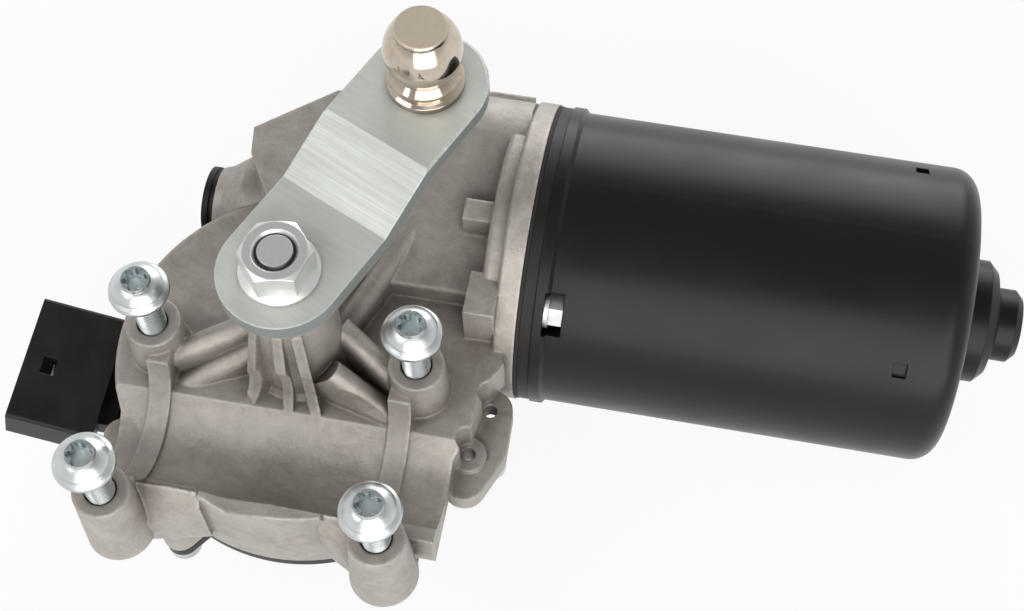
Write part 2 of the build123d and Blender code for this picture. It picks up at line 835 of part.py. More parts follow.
# Flange nut that clamps the crank
nut_flange_height = 1.6
with BuildPart() as crank_nut:
    turned(
        output_section,
        output_axis,
        [
            (thread_radius, crank_top_z),
            (nut_flange_radius, crank_top_z),
            (nut_flange_radius, crank_top_z + 0.8),
            (nut_across_flats / 2, crank_top_z + nut_flange_height + 0.4),
            (thread_radius, crank_top_z + nut_flange_height + 0.4),
        ],
    )
    with BuildSketch(output_plane.offset(crank_top_z)) as hexagon:
        RegularPolygon(nut_across_flats / 2, 6, major_radius=False, rotation=12.0)
        Circle(thread_radius, mode=Mode.SUBTRACT)
    extrude(hexagon.sketch, amount=nut_height)
    nut_top_z = crank_top_z + nut_height
    turned(
        output_section,
        output_axis,
        [
            (nut_across_flats / 2 - 0.2, nut_top_z),
            (nut_across_flats / 2 + 3.0, nut_top_z - 1.9),
            (nut_across_flats / 2 + 3.0, nut_top_z + 1.0),
            (nut_across_flats / 2 - 0.2, nut_top_z + 1.0),
        ],
        mode=Mode.SUBTRACT,
    )
    turned(
        output_section,
        output_axis,
        [
            (0, nut_top_z - 0.7),
            (thread_radius, nut_top_z - 0.7),
            (thread_radius + 0.7, nut_top_z),
            (thread_radius + 0.7, nut_top_z + 1.0),
            (0, nut_top_z + 1.0),
        ],
        mode=Mode.SUBTRACT,
    )
finish(crank_nut, "crank_nut")

# Ball pin riveted through the crank
ball_z = ball_base_z + 11.2
with BuildPart() as ball_pin:
    with BuildSketch(ball_section) as pin:
        with BuildLine():
            Polyline(
                (0, ball_base_z - crank_thickness - 1.0),
                (5.6, ball_base_z - crank_thickness - 1.0),
                (5.6, ball_base_z - crank_thickness),
                (4.5, ball_base_z - crank_thickness),
                (4.5, ball_base_z),
                (ball_radius, ball_base_z),
                (ball_radius, ball_base_z + 1.4),
                (7.2, ball_base_z + 2.0),
                (7.6, ball_base_z + 4.4),
                (6.2, ball_base_z + 5.6),
                (6.4, ball_base_z + 6.3),
            )
            ThreePointArc(
                (6.4, ball_base_z + 6.3),
                (ball_radius, ball_z),
                (ball_neck_radius, ball_z + sqrt(ball_radius**2 - ball_neck_radius**2)),
            )
            Line(
                (ball_neck_radius, ball_z + sqrt(ball_radius**2 - ball_neck_radius**2)),
                (ball_neck_radius, ball_base_z + ball_pin_height - 0.4),
            )
            Line(
                (ball_neck_radius, ball_base_z + ball_pin_height - 0.4),
                (ball_neck_radius - 0.4, ball_base_z + ball_pin_height),
            )
            Line(
                (ball_neck_radius - 0.4, ball_base_z + ball_pin_height),
                (0, ball_base_z + ball_pin_height),
            )
            Line(
                (0, ball_base_z + ball_pin_height),
                (0, ball_base_z - crank_thickness - 1.0),
            )
        make_face()
    revolve(pin.sketch, axis=ball_axis)
finish(ball_pin, "ball_pin")

# Four mounting screws with domed flange heads, standing half out of their bosses
with BuildPart() as mounting_screws:
    for x, y in boss_places:
        screw_section = Plane(origin=(x, y, 0), x_dir=(1, 0, 0), z_dir=(0, -1, 0))
        head_z = screw_stand_out
        with BuildSketch(screw_section) as screw:
            with BuildLine():
                Polyline(
                    (0, head_z + screw_head_height),
                    (0, -screw_depth),
                    (screw_thread_radius - 0.6, -screw_depth),
                    (screw_thread_radius, -screw_depth + 0.8),
                    (screw_thread_radius, 0),
                    (screw_radius, 0),
                    (screw_radius, head_z),
                    (screw_head_radius - 1.1, head_z),
                    (screw_head_radius, head_z + 1.3),
                )
                ThreePointArc(
                    (screw_head_radius, head_z + 1.3),
                    (screw_head_radius - 1.3, head_z + screw_head_height - 1.3),
                    (screw_recess_radius + 0.8, head_z + screw_head_height),
                )
                Line(
                    (screw_recess_radius + 0.8, head_z + screw_head_height),
                    (0, head_z + screw_head_height),
                )
            make_face()
        revolve(screw.sketch, axis=Axis((x, y, 0), (0, 0, 1)))
        recess_top = Plane((x, y, head_z + screw_head_height))
        with BuildSketch(recess_top) as recess:
            Circle(screw_recess_radius - 0.3)
            with PolarLocations(screw_recess_radius - 0.3, 6):
                Circle(0.75)
        extrude(recess.sketch, amount=-screw_recess_depth, mode=Mode.SUBTRACT)
finish(mounting_screws, "mounting_screws")

# Motor can: a drawn steel cup with a stepped boss at its closed end
inner_radius = can_radius - can_wall
with BuildPart() as motor_can:
    with BuildSketch(motor_section) as shell:
        with BuildLine():
            Polyline(
                (can_start_x, inner_radius),
                (can_start_x, can_rim_radius),
                (can_start_x + 2.4, can_rim_radius),
                (can_start_x + 3.2, can_radius),
                (can_end_x - can_shoulder, can_radius),
            )
            RadiusArc(
                (can_end_x - can_shoulder, can_radius),
                (can_end_x, can_radius - can_shoulder),
                can_shoulder,
            )
            Polyline(
                (can_end_x, can_radius - can_shoulder),
                (can_end_x, end_boss_radius + 1.5),
                (can_end_x + 1.5, end_boss_radius),
                (can_end_x + end_boss_length - 2.0, end_boss_radius),
                (can_end_x + end_boss_length, end_boss_radius - 2.0),
                (can_end_x + end_boss_length, tip_radius + 1.0),
                (can_end_x + end_boss_length + 1.0, tip_radius),
                (can_end_x + end_boss_length + tip_length - 1.5, tip_radius),
                (can_end_x + end_boss_length + tip_length, tip_radius - 1.5),
                (can_end_x + end_boss_length + tip_length, 0),
                (can_end_x + end_boss_length + tip_length - can_wall, 0),
                (can_end_x + end_boss_length + tip_length - can_wall, tip_radius - can_wall),
                (can_end_x + end_boss_length - can_wall, tip_radius - can_wall),
                (can_end_x + end_boss_length - can_wall, end_boss_radius - can_wall),
                (can_end_x - can_wall, end_boss_radius - can_wall),
                (can_end_x - can_wall, inner_radius - can_shoulder + can_wall),
            )
            RadiusArc(
                (can_end_x - can_wall, inner_radius - can_shoulder + can_wall),
                (can_end_x - can_shoulder, inner_radius),
                -(can_shoulder - can_wall),
            )
            Line((can_end_x - can_shoulder, inner_radius), (can_start_x, inner_radius))
        make_face()
    revolve(shell.sketch, axis=motor_axis)
    # Two pockets beside the rim, where the screws sit, with a floor of sheet
    for turn in (0.0, 180.0):
        y, z = polar(can_screw_circle, can_screw_angle + turn)
        outer_y, outer_z = polar(can_screw_circle + 8.0, can_screw_angle + turn)
        with BuildSketch(motor_plane.offset(can_start_x)) as pocket_wall:
            Circle(can_radius)
            with Locations((y, z)):
                Circle(pocket_radius + can_wall, mode=Mode.INTERSECT)
        extrude(pocket_wall.sketch, amount=pocket_depth + can_wall)
        hull_plate(
            motor_plane,
            can_start_x + can_wall,
            pocket_depth - can_wall,
            [(y, z, pocket_radius), (outer_y, outer_z, pocket_radius)],
            mode=Mode.SUBTRACT,
        )
        screw_line = motor_line(can_screw_circle, can_screw_angle + turn)
        ring(screw_line, can_start_x - 1, can_wall + 2, can_screw_radius + 0.2, mode=Mode.SUBTRACT)
    # Four lanced notches near the closed end
    for turn in range(4):
        lance_plane = motor_plane.rotated((lance_angle + 90.0 * turn, 0, 0))
        plate(
            lance_plane,
            lance_x - 1.4,
            2.8,
            [
                (can_radius - 0.9, -1.6),
                (can_radius + 2.0, -1.6),
                (can_radius + 2.0, 1.6),
                (can_radius - 0.9, 1.6),
            ],
            mode=Mode.SUBTRACT,
        )
finish(motor_can, "motor_can")


# Gasket and screws between the housing and the can
carrier_x = flange_face_x + gasket_thickness
screw_hole_radius = can_screw_radius + 0.2
with BuildPart() as can_gasket:
    ring(motor_plane, flange_face_x, gasket_thickness, flange_radius - 0.3, cup_radius + 0.6)
    for turn in (0.0, 180.0):
        hole = motor_line(can_screw_circle, can_screw_angle + turn)
        ring(hole, flange_face_x - 1, 4.0, screw_hole_radius, mode=Mode.SUBTRACT)
finish(can_gasket, "can_gasket")

washer_thickness = 1.0
with BuildPart() as can_screws:
    head_x = can_start_x + can_wall + washer_thickness
    for turn in (0.0, 180.0):
        line = motor_line(can_screw_circle, can_screw_angle + turn)
        ring(line, can_screw_tip_x, head_x - can_screw_tip_x + 0.5, can_screw_radius)
        ring(line, head_x - washer_thickness, washer_thickness, 4.3)
        with BuildSketch(line.offset(head_x)) as head:
            RegularPolygon(3.5, 6, major_radius=False)
        extrude(head.sketch, amount=can_screw_head - washer_thickness)
        slot = line.offset(head_x + can_screw_head - washer_thickness)
        with BuildSketch(slot) as cross:
            Rectangle(4.4, 0.9)
            Rectangle(0.9, 4.4)
        extrude(cross.sketch, amount=-1.4, mode=Mode.SUBTRACT)
finish(can_screws, "can_screws")

# Magnets bonded in the can, and the spring clips between them
magnet_start_x = core_start_x - (magnet_length - core_length) / 2
magnet_inner = core_radius + air_gap
magnet_outer = inner_radius - 0.1


def arc_band(plane, start, length, outer, inner, middle, spread):
    """Add a band of a ring, by the angle of its middle and its spread in degrees."""
    with BuildSketch(plane.offset(start)) as band:
        with BuildLine():
            CenterArc((0, 0), outer, middle - spread / 2, spread)
            CenterArc((0, 0), inner, middle - spread / 2, spread)
            for end in (middle - spread / 2, middle + spread / 2):
                Line(polar(inner, end), polar(outer, end))
        make_face()
    extrude(band.sketch, amount=length)


with BuildPart() as magnets:
    for middle in (0.0, 180.0):
        arc_band(
            motor_plane,
            magnet_start_x,
            magnet_length,
            magnet_outer,
            magnet_inner,
            middle,
            magnet_arc,
        )
finish(magnets, "magnets")

clip_sheet = 0.8
clip_arc = 180.0 - magnet_arc - 2.0
with BuildPart() as magnet_clips:
    for middle in (90.0, 270.0):
        arc_band(
            motor_plane,
            magnet_start_x + 4.0,
            magnet_length - 8.0,
            magnet_outer,
            magnet_outer - clip_sheet,
            middle,
            clip_arc,
        )
        for side in (-1, 1):
            arc_band(
                motor_plane,
                magnet_start_x + 4.0,
                magnet_length - 8.0,
                magnet_outer,
                magnet_inner + 1.0,
                middle + side * (clip_arc / 2 - 1.0),
                2.0,
            )
finish(magnet_clips, "magnet_clips")

# Armature shaft with the worm rolled on it
thread_start_x = output_x - worm_turns / 2 * worm_lead
thread_end_x = output_x + worm_turns / 2 * worm_lead
shaft_start_x = -25.4
shaft_end_x = can_end_x + end_boss_length + tip_length - can_wall - 1.6
flank_slope = tan(radians(pressure_angle))
thread_half_pitch = (worm_lead / 2 - mesh_clearance) / 2
thread_foot = worm_root_radius - 0.3

with BuildPart() as worm_thread:
    thread_path = motor_plane.offset(thread_start_x) * Helix(
        worm_lead, thread_end_x - thread_start_x, worm_pitch_radius
    )
    with BuildSketch(Plane.XY.offset(motor_z)) as rack_tooth:
        with BuildLine():
            foot_half = thread_half_pitch + (worm_pitch_radius - thread_foot) * flank_slope
            tip_half = thread_half_pitch - gear_module * flank_slope
            Polyline(
                (thread_start_x - foot_half, motor_y + thread_foot),
                (thread_start_x - tip_half, motor_y + worm_tip_radius),
                (thread_start_x + tip_half, motor_y + worm_tip_radius),
                (thread_start_x + foot_half, motor_y + thread_foot),
                close=True,
            )
        make_face()
    sweep(rack_tooth.sketch, path=thread_path, is_frenet=True)

with BuildPart() as armature_shaft:
    turned(
        motor_section,
        motor_axis,
        [
            (shaft_start_x, 0),
            (shaft_start_x, worm_journal_radius),
            (thread_start_x - 4.4, worm_journal_radius),
            (thread_start_x - 4.4, worm_root_radius),
            (thread_end_x + 2.2, worm_root_radius),
            (thread_end_x + 2.2, armature_radius),
            (shaft_end_x, armature_radius),
            (shaft_end_x, 0),
        ],
    )
    add(worm_thread.part)
finish(armature_shaft, "armature_shaft")

# Laminated core with its slots, the windings in them and the commutator
slot_step = 360.0 / core_slots
core_hub_radius = 10.4
tooth_width = 4.2
shoe_depth = 1.6
slot_mouth = 2.4
with BuildPart() as armature_core:
    ring(motor_plane, core_start_x, core_length, core_radius, armature_radius)
    for slot in range(core_slots):
        slot_angle = slot_step * (slot + 0.5)
        slot_plane = motor_plane.rotated((slot_angle, 0, 0))
        outer = core_radius - shoe_depth
        outer_half = outer * tan(radians(slot_step / 2)) - tooth_width / 2
        inner_half = max(0.4, core_hub_radius * tan(radians(slot_step / 2)) - tooth_width / 2)
        plate(
            slot_plane,
            core_start_x,
            core_length,
            [
                (core_hub_radius, -inner_half),
                (outer, -outer_half),
                (outer, outer_half),
                (core_hub_radius, inner_half),
            ],
            mode=Mode.SUBTRACT,
        )
        plate(
            slot_plane,
            core_start_x,
            core_length,
            [
                (outer - 0.5, -slot_mouth / 2),
                (core_radius + 1.0, -slot_mouth / 2),
                (core_radius + 1.0, slot_mouth / 2),
                (outer - 0.5, slot_mouth / 2),
            ],
            mode=Mode.SUBTRACT,
        )
finish(armature_core, "armature_core")

winding_overhang = 5.2
winding_gap = 0.15
with BuildPart() as windings:
    for start in (core_start_x - winding_overhang, core_start_x + core_length):
        turned(
            motor_section,
            motor_axis,
            [
                (start, 8.6),
                (start, 15.0),
                (start + 2.0, 20.0),
                (start + winding_overhang - 2.0, 21.0),
                (start + winding_overhang, 20.4),
                (start + winding_overhang, 8.6),
            ],
        )
    for slot in range(core_slots):
        slot_plane = motor_plane.rotated((slot_step * (slot + 0.5), 0, 0))
        outer = core_radius - shoe_depth - 2 * winding_gap
        inner = core_hub_radius + 1.2
        outer_half = outer * tan(radians(slot_step / 2)) - tooth_width / 2 - winding_gap - 0.1
        inner_half = inner * tan(radians(slot_step / 2)) - tooth_width / 2 - winding_gap - 0.1
        plate(
            slot_plane,
            core_start_x - 1.0,
            core_length + 2.0,
            [(inner, -inner_half), (outer, -outer_half), (outer, outer_half), (inner, inner_half)],
        )
finish(windings, "windings")

with BuildPart() as commutator:
    ring(motor_plane, commutator_start_x, commutator_length, commutator_radius, 8.4)
    ring(
        motor_plane,
        commutator_start_x + commutator_length - 1.4,
        1.4,
        commutator_radius + 1.6,
        8.4,
    )
    for segment in range(core_slots):
        slot_plane = motor_plane.rotated((slot_step * segment, 0, 0))
        plate(
            slot_plane,
            commutator_start_x - 1.0,
            commutator_length + 2.0,
            [(9.4, -0.3), (14.0, -0.3), (14.0, 0.3), (9.4, 0.3)],
            mode=Mode.SUBTRACT,
        )
finish(commutator, "commutator")

with BuildPart() as commutator_hub:
    ring(motor_plane, commutator_start_x, commutator_length, 8.4, armature_radius)
    ring(
        motor_plane,
        commutator_start_x + commutator_length,
        core_start_x - commutator_start_x - commutator_length,
        7.6,
        armature_radius,
    )
finish(commutator_hub, "commutator_hub")

# Front ball bearing: two grooved rings, seven balls and their cage
ball_circle = (bearing_bore + bearing_outer) / 2
groove_radius = bearing_ball_radius + bearing_play
inner_land = ball_circle - 1.3
outer_land = ball_circle + 1.3
bearing_mid_x = bearing_start_x + bearing_width / 2
ball_step = 360.0 / bearing_balls


def race_groove():
    """Cut the groove that the balls run in."""
    with BuildSketch(motor_section) as groove:
        with Locations((bearing_mid_x, ball_circle)):
            Circle(groove_radius)
    revolve(groove.sketch, axis=motor_axis, mode=Mode.SUBTRACT)


with BuildPart() as bearing_outer_ring:
    ring(motor_plane, bearing_start_x, bearing_width, bearing_outer, outer_land)
    race_groove()
finish(bearing_outer_ring, "bearing_outer_ring")

with BuildPart() as bearing_inner_ring:
    ring(motor_plane, bearing_start_x, bearing_width, inner_land, bearing_bore)
    race_groove()
finish(bearing_inner_ring, "bearing_inner_ring")

with BuildPart() as bearing_balls_set:
    for ball in range(bearing_balls):
        spot = motor_line(ball_circle, ball_step * ball, bearing_mid_x).origin
        with Locations(spot):
            Sphere(bearing_ball_radius)
finish(bearing_balls_set, "bearing_balls")

cage_half_thickness = 0.55
with BuildPart() as bearing_cage:
    ring(
        motor_plane,
        bearing_mid_x - bearing_ball_radius - 0.4,
        2 * bearing_ball_radius + 0.8,
        ball_circle + cage_half_thickness,
        ball_circle - cage_half_thickness,
    )
    for ball in range(bearing_balls):
        pocket = radial_plane(ball_step * ball, 0.0, bearing_mid_x)
        ring(pocket, 2.0, 12.0, bearing_ball_radius + bearing_play, mode=Mode.SUBTRACT)
finish(bearing_cage, "bearing_cage")

with BuildPart() as bearing_retainer:
    ring(motor_plane, seat_x, 0.9, gallery_radius, 9.6)
finish(bearing_retainer, "bearing_retainer")

# Plain bushes and thrust pieces at the two ends of the armature shaft
worm_bush_x = tunnel_end_x + 3.2
worm_bush_length = 7.0
with BuildPart() as worm_bush:
    ring(
        motor_plane,
        worm_bush_x,
        worm_bush_length,
        tunnel_bore,
        worm_journal_radius + running_clearance,
    )
finish(worm_bush, "worm_bush")

plug_rim_thickness = 1.4
with BuildPart() as end_plug:
    plug_gap = 1.2
    ring(
        motor_plane,
        tunnel_end_x - plug_gap - plug_rim_thickness,
        plug_rim_thickness,
        tunnel_end_radius - 0.2,
    )
    ring(
        motor_plane,
        tunnel_end_x - plug_gap,
        shaft_start_x - 0.3 - tunnel_end_x + plug_gap,
        tunnel_bore,
    )
    ring(motor_plane, tunnel_end_x - 5.0, 3.6, 2.4, mode=Mode.SUBTRACT)
finish(end_plug, "end_plug")

rear_bush_x = can_end_x + 0.4
rear_bush_length = end_boss_length - can_wall - 1.0
with BuildPart() as rear_bush:
    ring(
        motor_plane,
        rear_bush_x,
        rear_bush_length,
        8.0,
        armature_radius + running_clearance,
    )
finish(rear_bush, "rear_bush")

with BuildPart() as rear_bush_clip:
    clip_outer = end_boss_radius - can_wall
    ring(motor_plane, rear_bush_x, rear_bush_length, clip_outer, 10.0)
    ring(motor_plane, rear_bush_x, 1.0, clip_outer, 8.0)
    ring(motor_plane, rear_bush_x + rear_bush_length - 1.0, 1.0, clip_outer, 8.0)
finish(rear_bush_clip, "rear_bush_clip")

with BuildPart() as thrust_pad:
    ring(motor_plane, shaft_end_x + 0.3, 1.3, tip_radius - can_wall)
finish(thrust_pad, "thrust_pad")

# Brush plate: the moulded ring that shows between the housing and the can
brush_angles = (20.0, 200.0, 265.0)
holder_wall = 1.0
brush_width = 6.0
brush_height = 4.2
brush_length = 8.0
holder_start = commutator_radius + 1.4
holder_length = 13.0
holder_height = brush_height + 2 * holder_wall + 0.2
holder_mid_x = can_start_x + holder_height / 2

with BuildPart() as brush_plate:
    ring(motor_plane, carrier_x, carrier_thickness, flange_radius - 0.4, commutator_radius + 2.6)
    for turn in (0.0, 180.0):
        hole = motor_line(can_screw_circle, can_screw_angle + turn)
        ring(hole, carrier_x - 1, carrier_thickness + 2, screw_hole_radius, mode=Mode.SUBTRACT)
finish(brush_plate, "brush_plate")

with BuildPart() as brush_holders:
    for angle in brush_angles:
        foot = radial_plane(angle, holder_start, holder_mid_x)
        with BuildSketch(foot) as tube_outline:
            Rectangle(holder_height, brush_width + 2 * holder_wall)
            Rectangle(brush_height + 0.2, brush_width + 0.2, mode=Mode.SUBTRACT)
        extrude(tube_outline.sketch, amount=holder_length)
        with BuildSketch(foot.offset(holder_length - holder_wall)) as cap:
            Rectangle(holder_height, brush_width + 2 * holder_wall)
        extrude(cap.sketch, amount=holder_wall)
finish(brush_holders, "brush_holders")

with BuildPart() as brushes:
    for angle in brush_angles:
        foot = radial_plane(angle, commutator_radius - 1.0, holder_mid_x)
        with BuildSketch(foot) as block:
            Rectangle(brush_height, brush_width)
        extrude(block.sketch, amount=brush_length + 1.0)
    ring(
        motor_plane,
        can_start_x - 1.0,
        holder_height + 3.0,
        commutator_radius + 0.05,
        mode=Mode.SUBTRACT,
    )
finish(brushes, "brushes")

spring_radius = 1.6
spring_wire = 0.3
spring_turns = 4
with BuildPart() as brush_springs:
    spring_start = commutator_radius + brush_length + 1.5 * spring_wire
    spring_length = holder_start + holder_length - holder_wall - 1.5 * spring_wire - spring_start
    for angle in brush_angles:
        foot = radial_plane(angle, spring_start, holder_mid_x)
        coil = foot * Helix(spring_length / spring_turns, spring_length, spring_radius)
        with BuildSketch(Plane(origin=coil @ 0, z_dir=coil % 0)) as wire:
            RegularPolygon(spring_wire, 6)
        sweep(wire.sketch, path=coil, is_frenet=True)
finish(brush_springs, "brush_springs")

# Suppression parts on the brush plate
choke_angles = (75.0, 112.0)
choke_radius = 2.9
choke_length = 10.0
suppressor_ring = 21.0
with BuildPart() as choke_coils:
    for angle in choke_angles:
        foot = radial_plane(angle, suppressor_ring, can_start_x + choke_radius)
        across = Plane(origin=foot.origin, x_dir=(1, 0, 0), z_dir=foot.y_dir)
        ring(across, -choke_length / 2, choke_length, choke_radius - 0.8)
        ring(across, -choke_length / 2 + 1.0, choke_length - 2.0, choke_radius)
finish(choke_coils, "choke_coils")

with BuildPart() as capacitor:
    foot = radial_plane(232.0, suppressor_ring, can_start_x + 2.2)
    with BuildSketch(foot.offset(-2.6)) as body_outline:
        RectangleRounded(4.4, 7.0, 1.2)
    extrude(body_outline.sketch, amount=5.2)
finish(capacitor, "capacitor")

with BuildPart() as thermal_cutout:
    foot = radial_plane(170.0, suppressor_ring, can_start_x + 2.0)
    with BuildSketch(foot.offset(-2.0)) as body_outline:
        Rectangle(4.0, 8.0)
    extrude(body_outline.sketch, amount=4.0)
finish(thermal_cutout, "thermal_cutout")

# Gear cover with its connector, seal, screws, blades and park fingers
cover_top_z = housing_floor_z - seal_thickness
cover_bottom_z = cover_top_z - cover_thickness
seal_outer = cover_radius - 0.3
seal_inner = chamber_radius + 0.3


def clear_of_motor():
    """Cut away what would touch the motor flange."""
    ring(motor_plane, flange_back_x - cover_gap, 20.0, flange_radius + cover_gap, mode=Mode.SUBTRACT)


with BuildPart() as cover_seal:
    ring(output_plane, housing_floor_z - seal_thickness, seal_thickness, seal_outer, seal_inner)
    clear_of_motor()
finish(cover_seal, "cover_seal")

neck_top_z = connector_top_z - connector_height - 3.4
with BuildPart() as gear_cover:
    ring(output_plane, cover_bottom_z, cover_thickness, cover_radius)
    for angle in cover_screw_angles:
        spot, near = cover_screw_spot(angle)
        hull_plate(
            Plane.XY,
            cover_bottom_z,
            cover_thickness,
            [(*spot, cover_lug_radius - 0.2), (*near, cover_lug_radius + 0.8)],
        )
    ring(output_plane, cover_bottom_z - 1.6, 1.6, 31.0, 29.0)
    for spoke in range(8):
        spoke_plane = output_plane.rotated((0, 0, 45.0 * spoke + 10.0))
        plate(
            spoke_plane,
            cover_bottom_z - 1.6,
            1.6,
            [(7.0, -0.9), (30.0, -0.9), (30.0, 0.9), (7.0, 0.9)],
        )
    ring(output_plane, cover_bottom_z - 1.6, 1.6, 8.0)
    # Connector socket on its neck
    with BuildSketch(socket_plane) as socket:
        RectangleRounded(connector_width, connector_height, 1.0)
    extrude(socket.sketch, amount=-connector_length)
    plate(
        Plane.XY,
        cover_bottom_z,
        cover_thickness,
        [
            (connector_tip_x + 6.0, connector_mid_y - 9.0),
            (-30.0, connector_mid_y - 9.0),
            (-30.0, connector_mid_y + 13.0),
            (connector_tip_x + 6.0, connector_mid_y + 13.0),
        ],
    )
    plate(
        Plane.XY,
        cover_bottom_z,
        -cover_bottom_z + connector_top_z - connector_height,
        [
            (connector_tip_x + 9.0, connector_mid_y - 9.0),
            (-39.6, connector_mid_y - 9.0),
            (-39.6, connector_mid_y + 13.0),
            (connector_tip_x + 9.0, connector_mid_y + 13.0),
        ],
    )
    with BuildSketch(socket_plane) as socket_hole:
        RectangleRounded(
            connector_width - 2 * connector_wall, connector_height - 2 * connector_wall, 0.6
        )
    extrude(socket_hole.sketch, amount=-connector_depth, mode=Mode.SUBTRACT)
    with BuildSketch(socket_plane.offset(-7.0)) as latch_window:
        with Locations((-1.0, -connector_height / 2)):
            Rectangle(4.0, 4.0)
    extrude(latch_window.sketch, amount=3.0, mode=Mode.SUBTRACT)
    ring(output_plane, cover_top_z, 30.0, chamber_outer + cover_gap, mode=Mode.SUBTRACT)
    clear_of_motor()
    for place in (rear_ear_hole, front_ear_hole):
        ring(Plane((*place, 0)), cover_bottom_z - 1, 9.0, ear_clearance_radius, mode=Mode.SUBTRACT)
    for angle in cover_screw_angles:
        spot, near = cover_screw_spot(angle)
        ring(
            Plane((*spot, 0)),
            cover_bottom_z - 1,
            cover_thickness + 2,
            cover_screw_radius + 0.25,
            mode=Mode.SUBTRACT,
        )
finish(gear_cover, "gear_cover")

with BuildPart() as cover_screws:
    for angle in cover_screw_angles:
        spot, near = cover_screw_spot(angle)
        base = Plane((*spot, 0))
        ring(base, cover_bottom_z - 2.4, 2.4, 3.6)
        ring(base, cover_bottom_z - 0.2, cover_thickness + seal_thickness + 6.0, cover_screw_radius)
        with BuildSketch(base.offset(cover_bottom_z - 2.4)) as cross:
            Rectangle(3.4, 0.8)
            Rectangle(0.8, 3.4)
        extrude(cross.sketch, amount=1.3, mode=Mode.SUBTRACT)
finish(cover_screws, "cover_screws")

blade_length = 7.0
with BuildPart() as connector_blades:
    for blade in range(blade_count):
        with BuildSketch(socket_plane.offset(-connector_depth)) as blade_outline:
            with Locations(((blade - (blade_count - 1) / 2) * blade_pitch, 0)):
                Rectangle(2.8, 0.8)
        extrude(blade_outline.sketch, amount=blade_length)
finish(connector_blades, "connector_blades")

# Park fingers: spring strips riveted to the cover, with their tips just under the disc
finger_radii = (16.0, 20.0, 24.0)
finger_gap = 0.3
finger_tip_z = gear_bottom_z - park_disc_thickness - finger_gap
with BuildPart() as park_fingers:
    for radius in finger_radii:
        foot = upright(output_x, output_y + radius, 180.0)
        with BuildSketch(foot) as finger:
            with BuildLine():
                Polyline(
                    (8.0, cover_top_z),
                    (8.0, cover_top_z + 0.5),
                    (4.0, cover_top_z + 0.5),
                    (-4.0, finger_tip_z),
                    (-6.0, finger_tip_z - 0.8),
                    (-6.0, finger_tip_z - 1.3),
                    (-4.0, finger_tip_z - 0.5),
                    (4.0, cover_top_z),
                    close=True,
                )
            make_face()
        extrude(finger.sketch, amount=1.0, both=True)
finish(park_fingers, "park_fingers")
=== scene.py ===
import json
import math

import bpy
from mathutils import Euler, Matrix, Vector


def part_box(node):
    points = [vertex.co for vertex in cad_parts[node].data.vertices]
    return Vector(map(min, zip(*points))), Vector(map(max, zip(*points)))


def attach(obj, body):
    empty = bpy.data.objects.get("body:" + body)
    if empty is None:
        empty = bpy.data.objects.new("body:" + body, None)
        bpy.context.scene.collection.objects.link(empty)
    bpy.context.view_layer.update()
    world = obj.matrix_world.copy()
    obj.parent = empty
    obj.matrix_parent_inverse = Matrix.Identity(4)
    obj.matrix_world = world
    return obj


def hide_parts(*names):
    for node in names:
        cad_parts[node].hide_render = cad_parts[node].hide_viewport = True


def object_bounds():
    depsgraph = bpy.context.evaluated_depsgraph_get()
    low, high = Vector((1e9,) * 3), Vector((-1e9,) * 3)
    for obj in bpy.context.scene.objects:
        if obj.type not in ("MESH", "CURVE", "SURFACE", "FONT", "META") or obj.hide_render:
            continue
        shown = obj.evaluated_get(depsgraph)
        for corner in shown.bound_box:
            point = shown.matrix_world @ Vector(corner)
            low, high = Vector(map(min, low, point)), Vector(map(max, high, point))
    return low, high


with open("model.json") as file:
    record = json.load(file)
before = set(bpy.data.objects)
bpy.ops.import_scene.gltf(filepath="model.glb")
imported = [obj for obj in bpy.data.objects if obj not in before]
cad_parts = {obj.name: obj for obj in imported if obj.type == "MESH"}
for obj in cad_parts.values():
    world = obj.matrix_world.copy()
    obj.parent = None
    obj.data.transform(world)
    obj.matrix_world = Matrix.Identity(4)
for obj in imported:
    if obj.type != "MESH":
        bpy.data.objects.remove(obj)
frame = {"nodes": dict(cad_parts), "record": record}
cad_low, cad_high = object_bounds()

bl_info = {
    "name": "Wiper Motor",
    "version": (1, 0, 0),
    "blender": (4, 5, 0),
    "location": "View3D > Sidebar > Wiper Motor",
    "description": "Dresses a wiper motor with its detailed pieces, finishes, light and camera",
    "category": "Object",
}

MM = 0.001

# Places of the pieces, read from the frame
bosses = next(mount for mount in frame["record"]["mounts"] if mount["name"] == "bracket_bosses")
half_x = bosses["dims"]["spacing_x_mm"] / 2
half_y = bosses["dims"]["spacing_y_mm"] / 2
BOSS_SPOTS = [(x, y) for y in (-half_y, half_y) for x in (-half_x, half_x)]  # in millimetres
ball_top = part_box("ball_pin")[1].z
nut_low, nut_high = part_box("crank_nut")
screw_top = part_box("mounting_screws")[1].z


# Values that a user would change


class MotorColours(bpy.types.PropertyGroup):
    cast_metal: bpy.props.FloatVectorProperty(
        name="Cast metal",
        description="Colour of the die-cast housing",
        subtype="COLOR",
        size=3,
        min=0.0,
        max=1.0,
        default=(0.405, 0.377, 0.345),
    )
    paint: bpy.props.FloatVectorProperty(
        name="Can paint",
        description="Colour of the painted motor can",
        subtype="COLOR",
        size=3,
        min=0.0,
        max=1.0,
        default=(0.0085, 0.0064, 0.0062),
    )
    zinc: bpy.props.FloatVectorProperty(
        name="Zinc plate",
        description="Colour of the plated crank",
        subtype="COLOR",
        size=3,
        min=0.0,
        max=1.0,
        default=(0.70, 0.725, 0.69),
    )
    plastic: bpy.props.FloatVectorProperty(
        name="Connector plastic",
        description="Colour of the moulded cover and connector",
        subtype="COLOR",
        size=3,
        min=0.0,
        max=1.0,
        default=(0.0065, 0.006, 0.0055),
    )


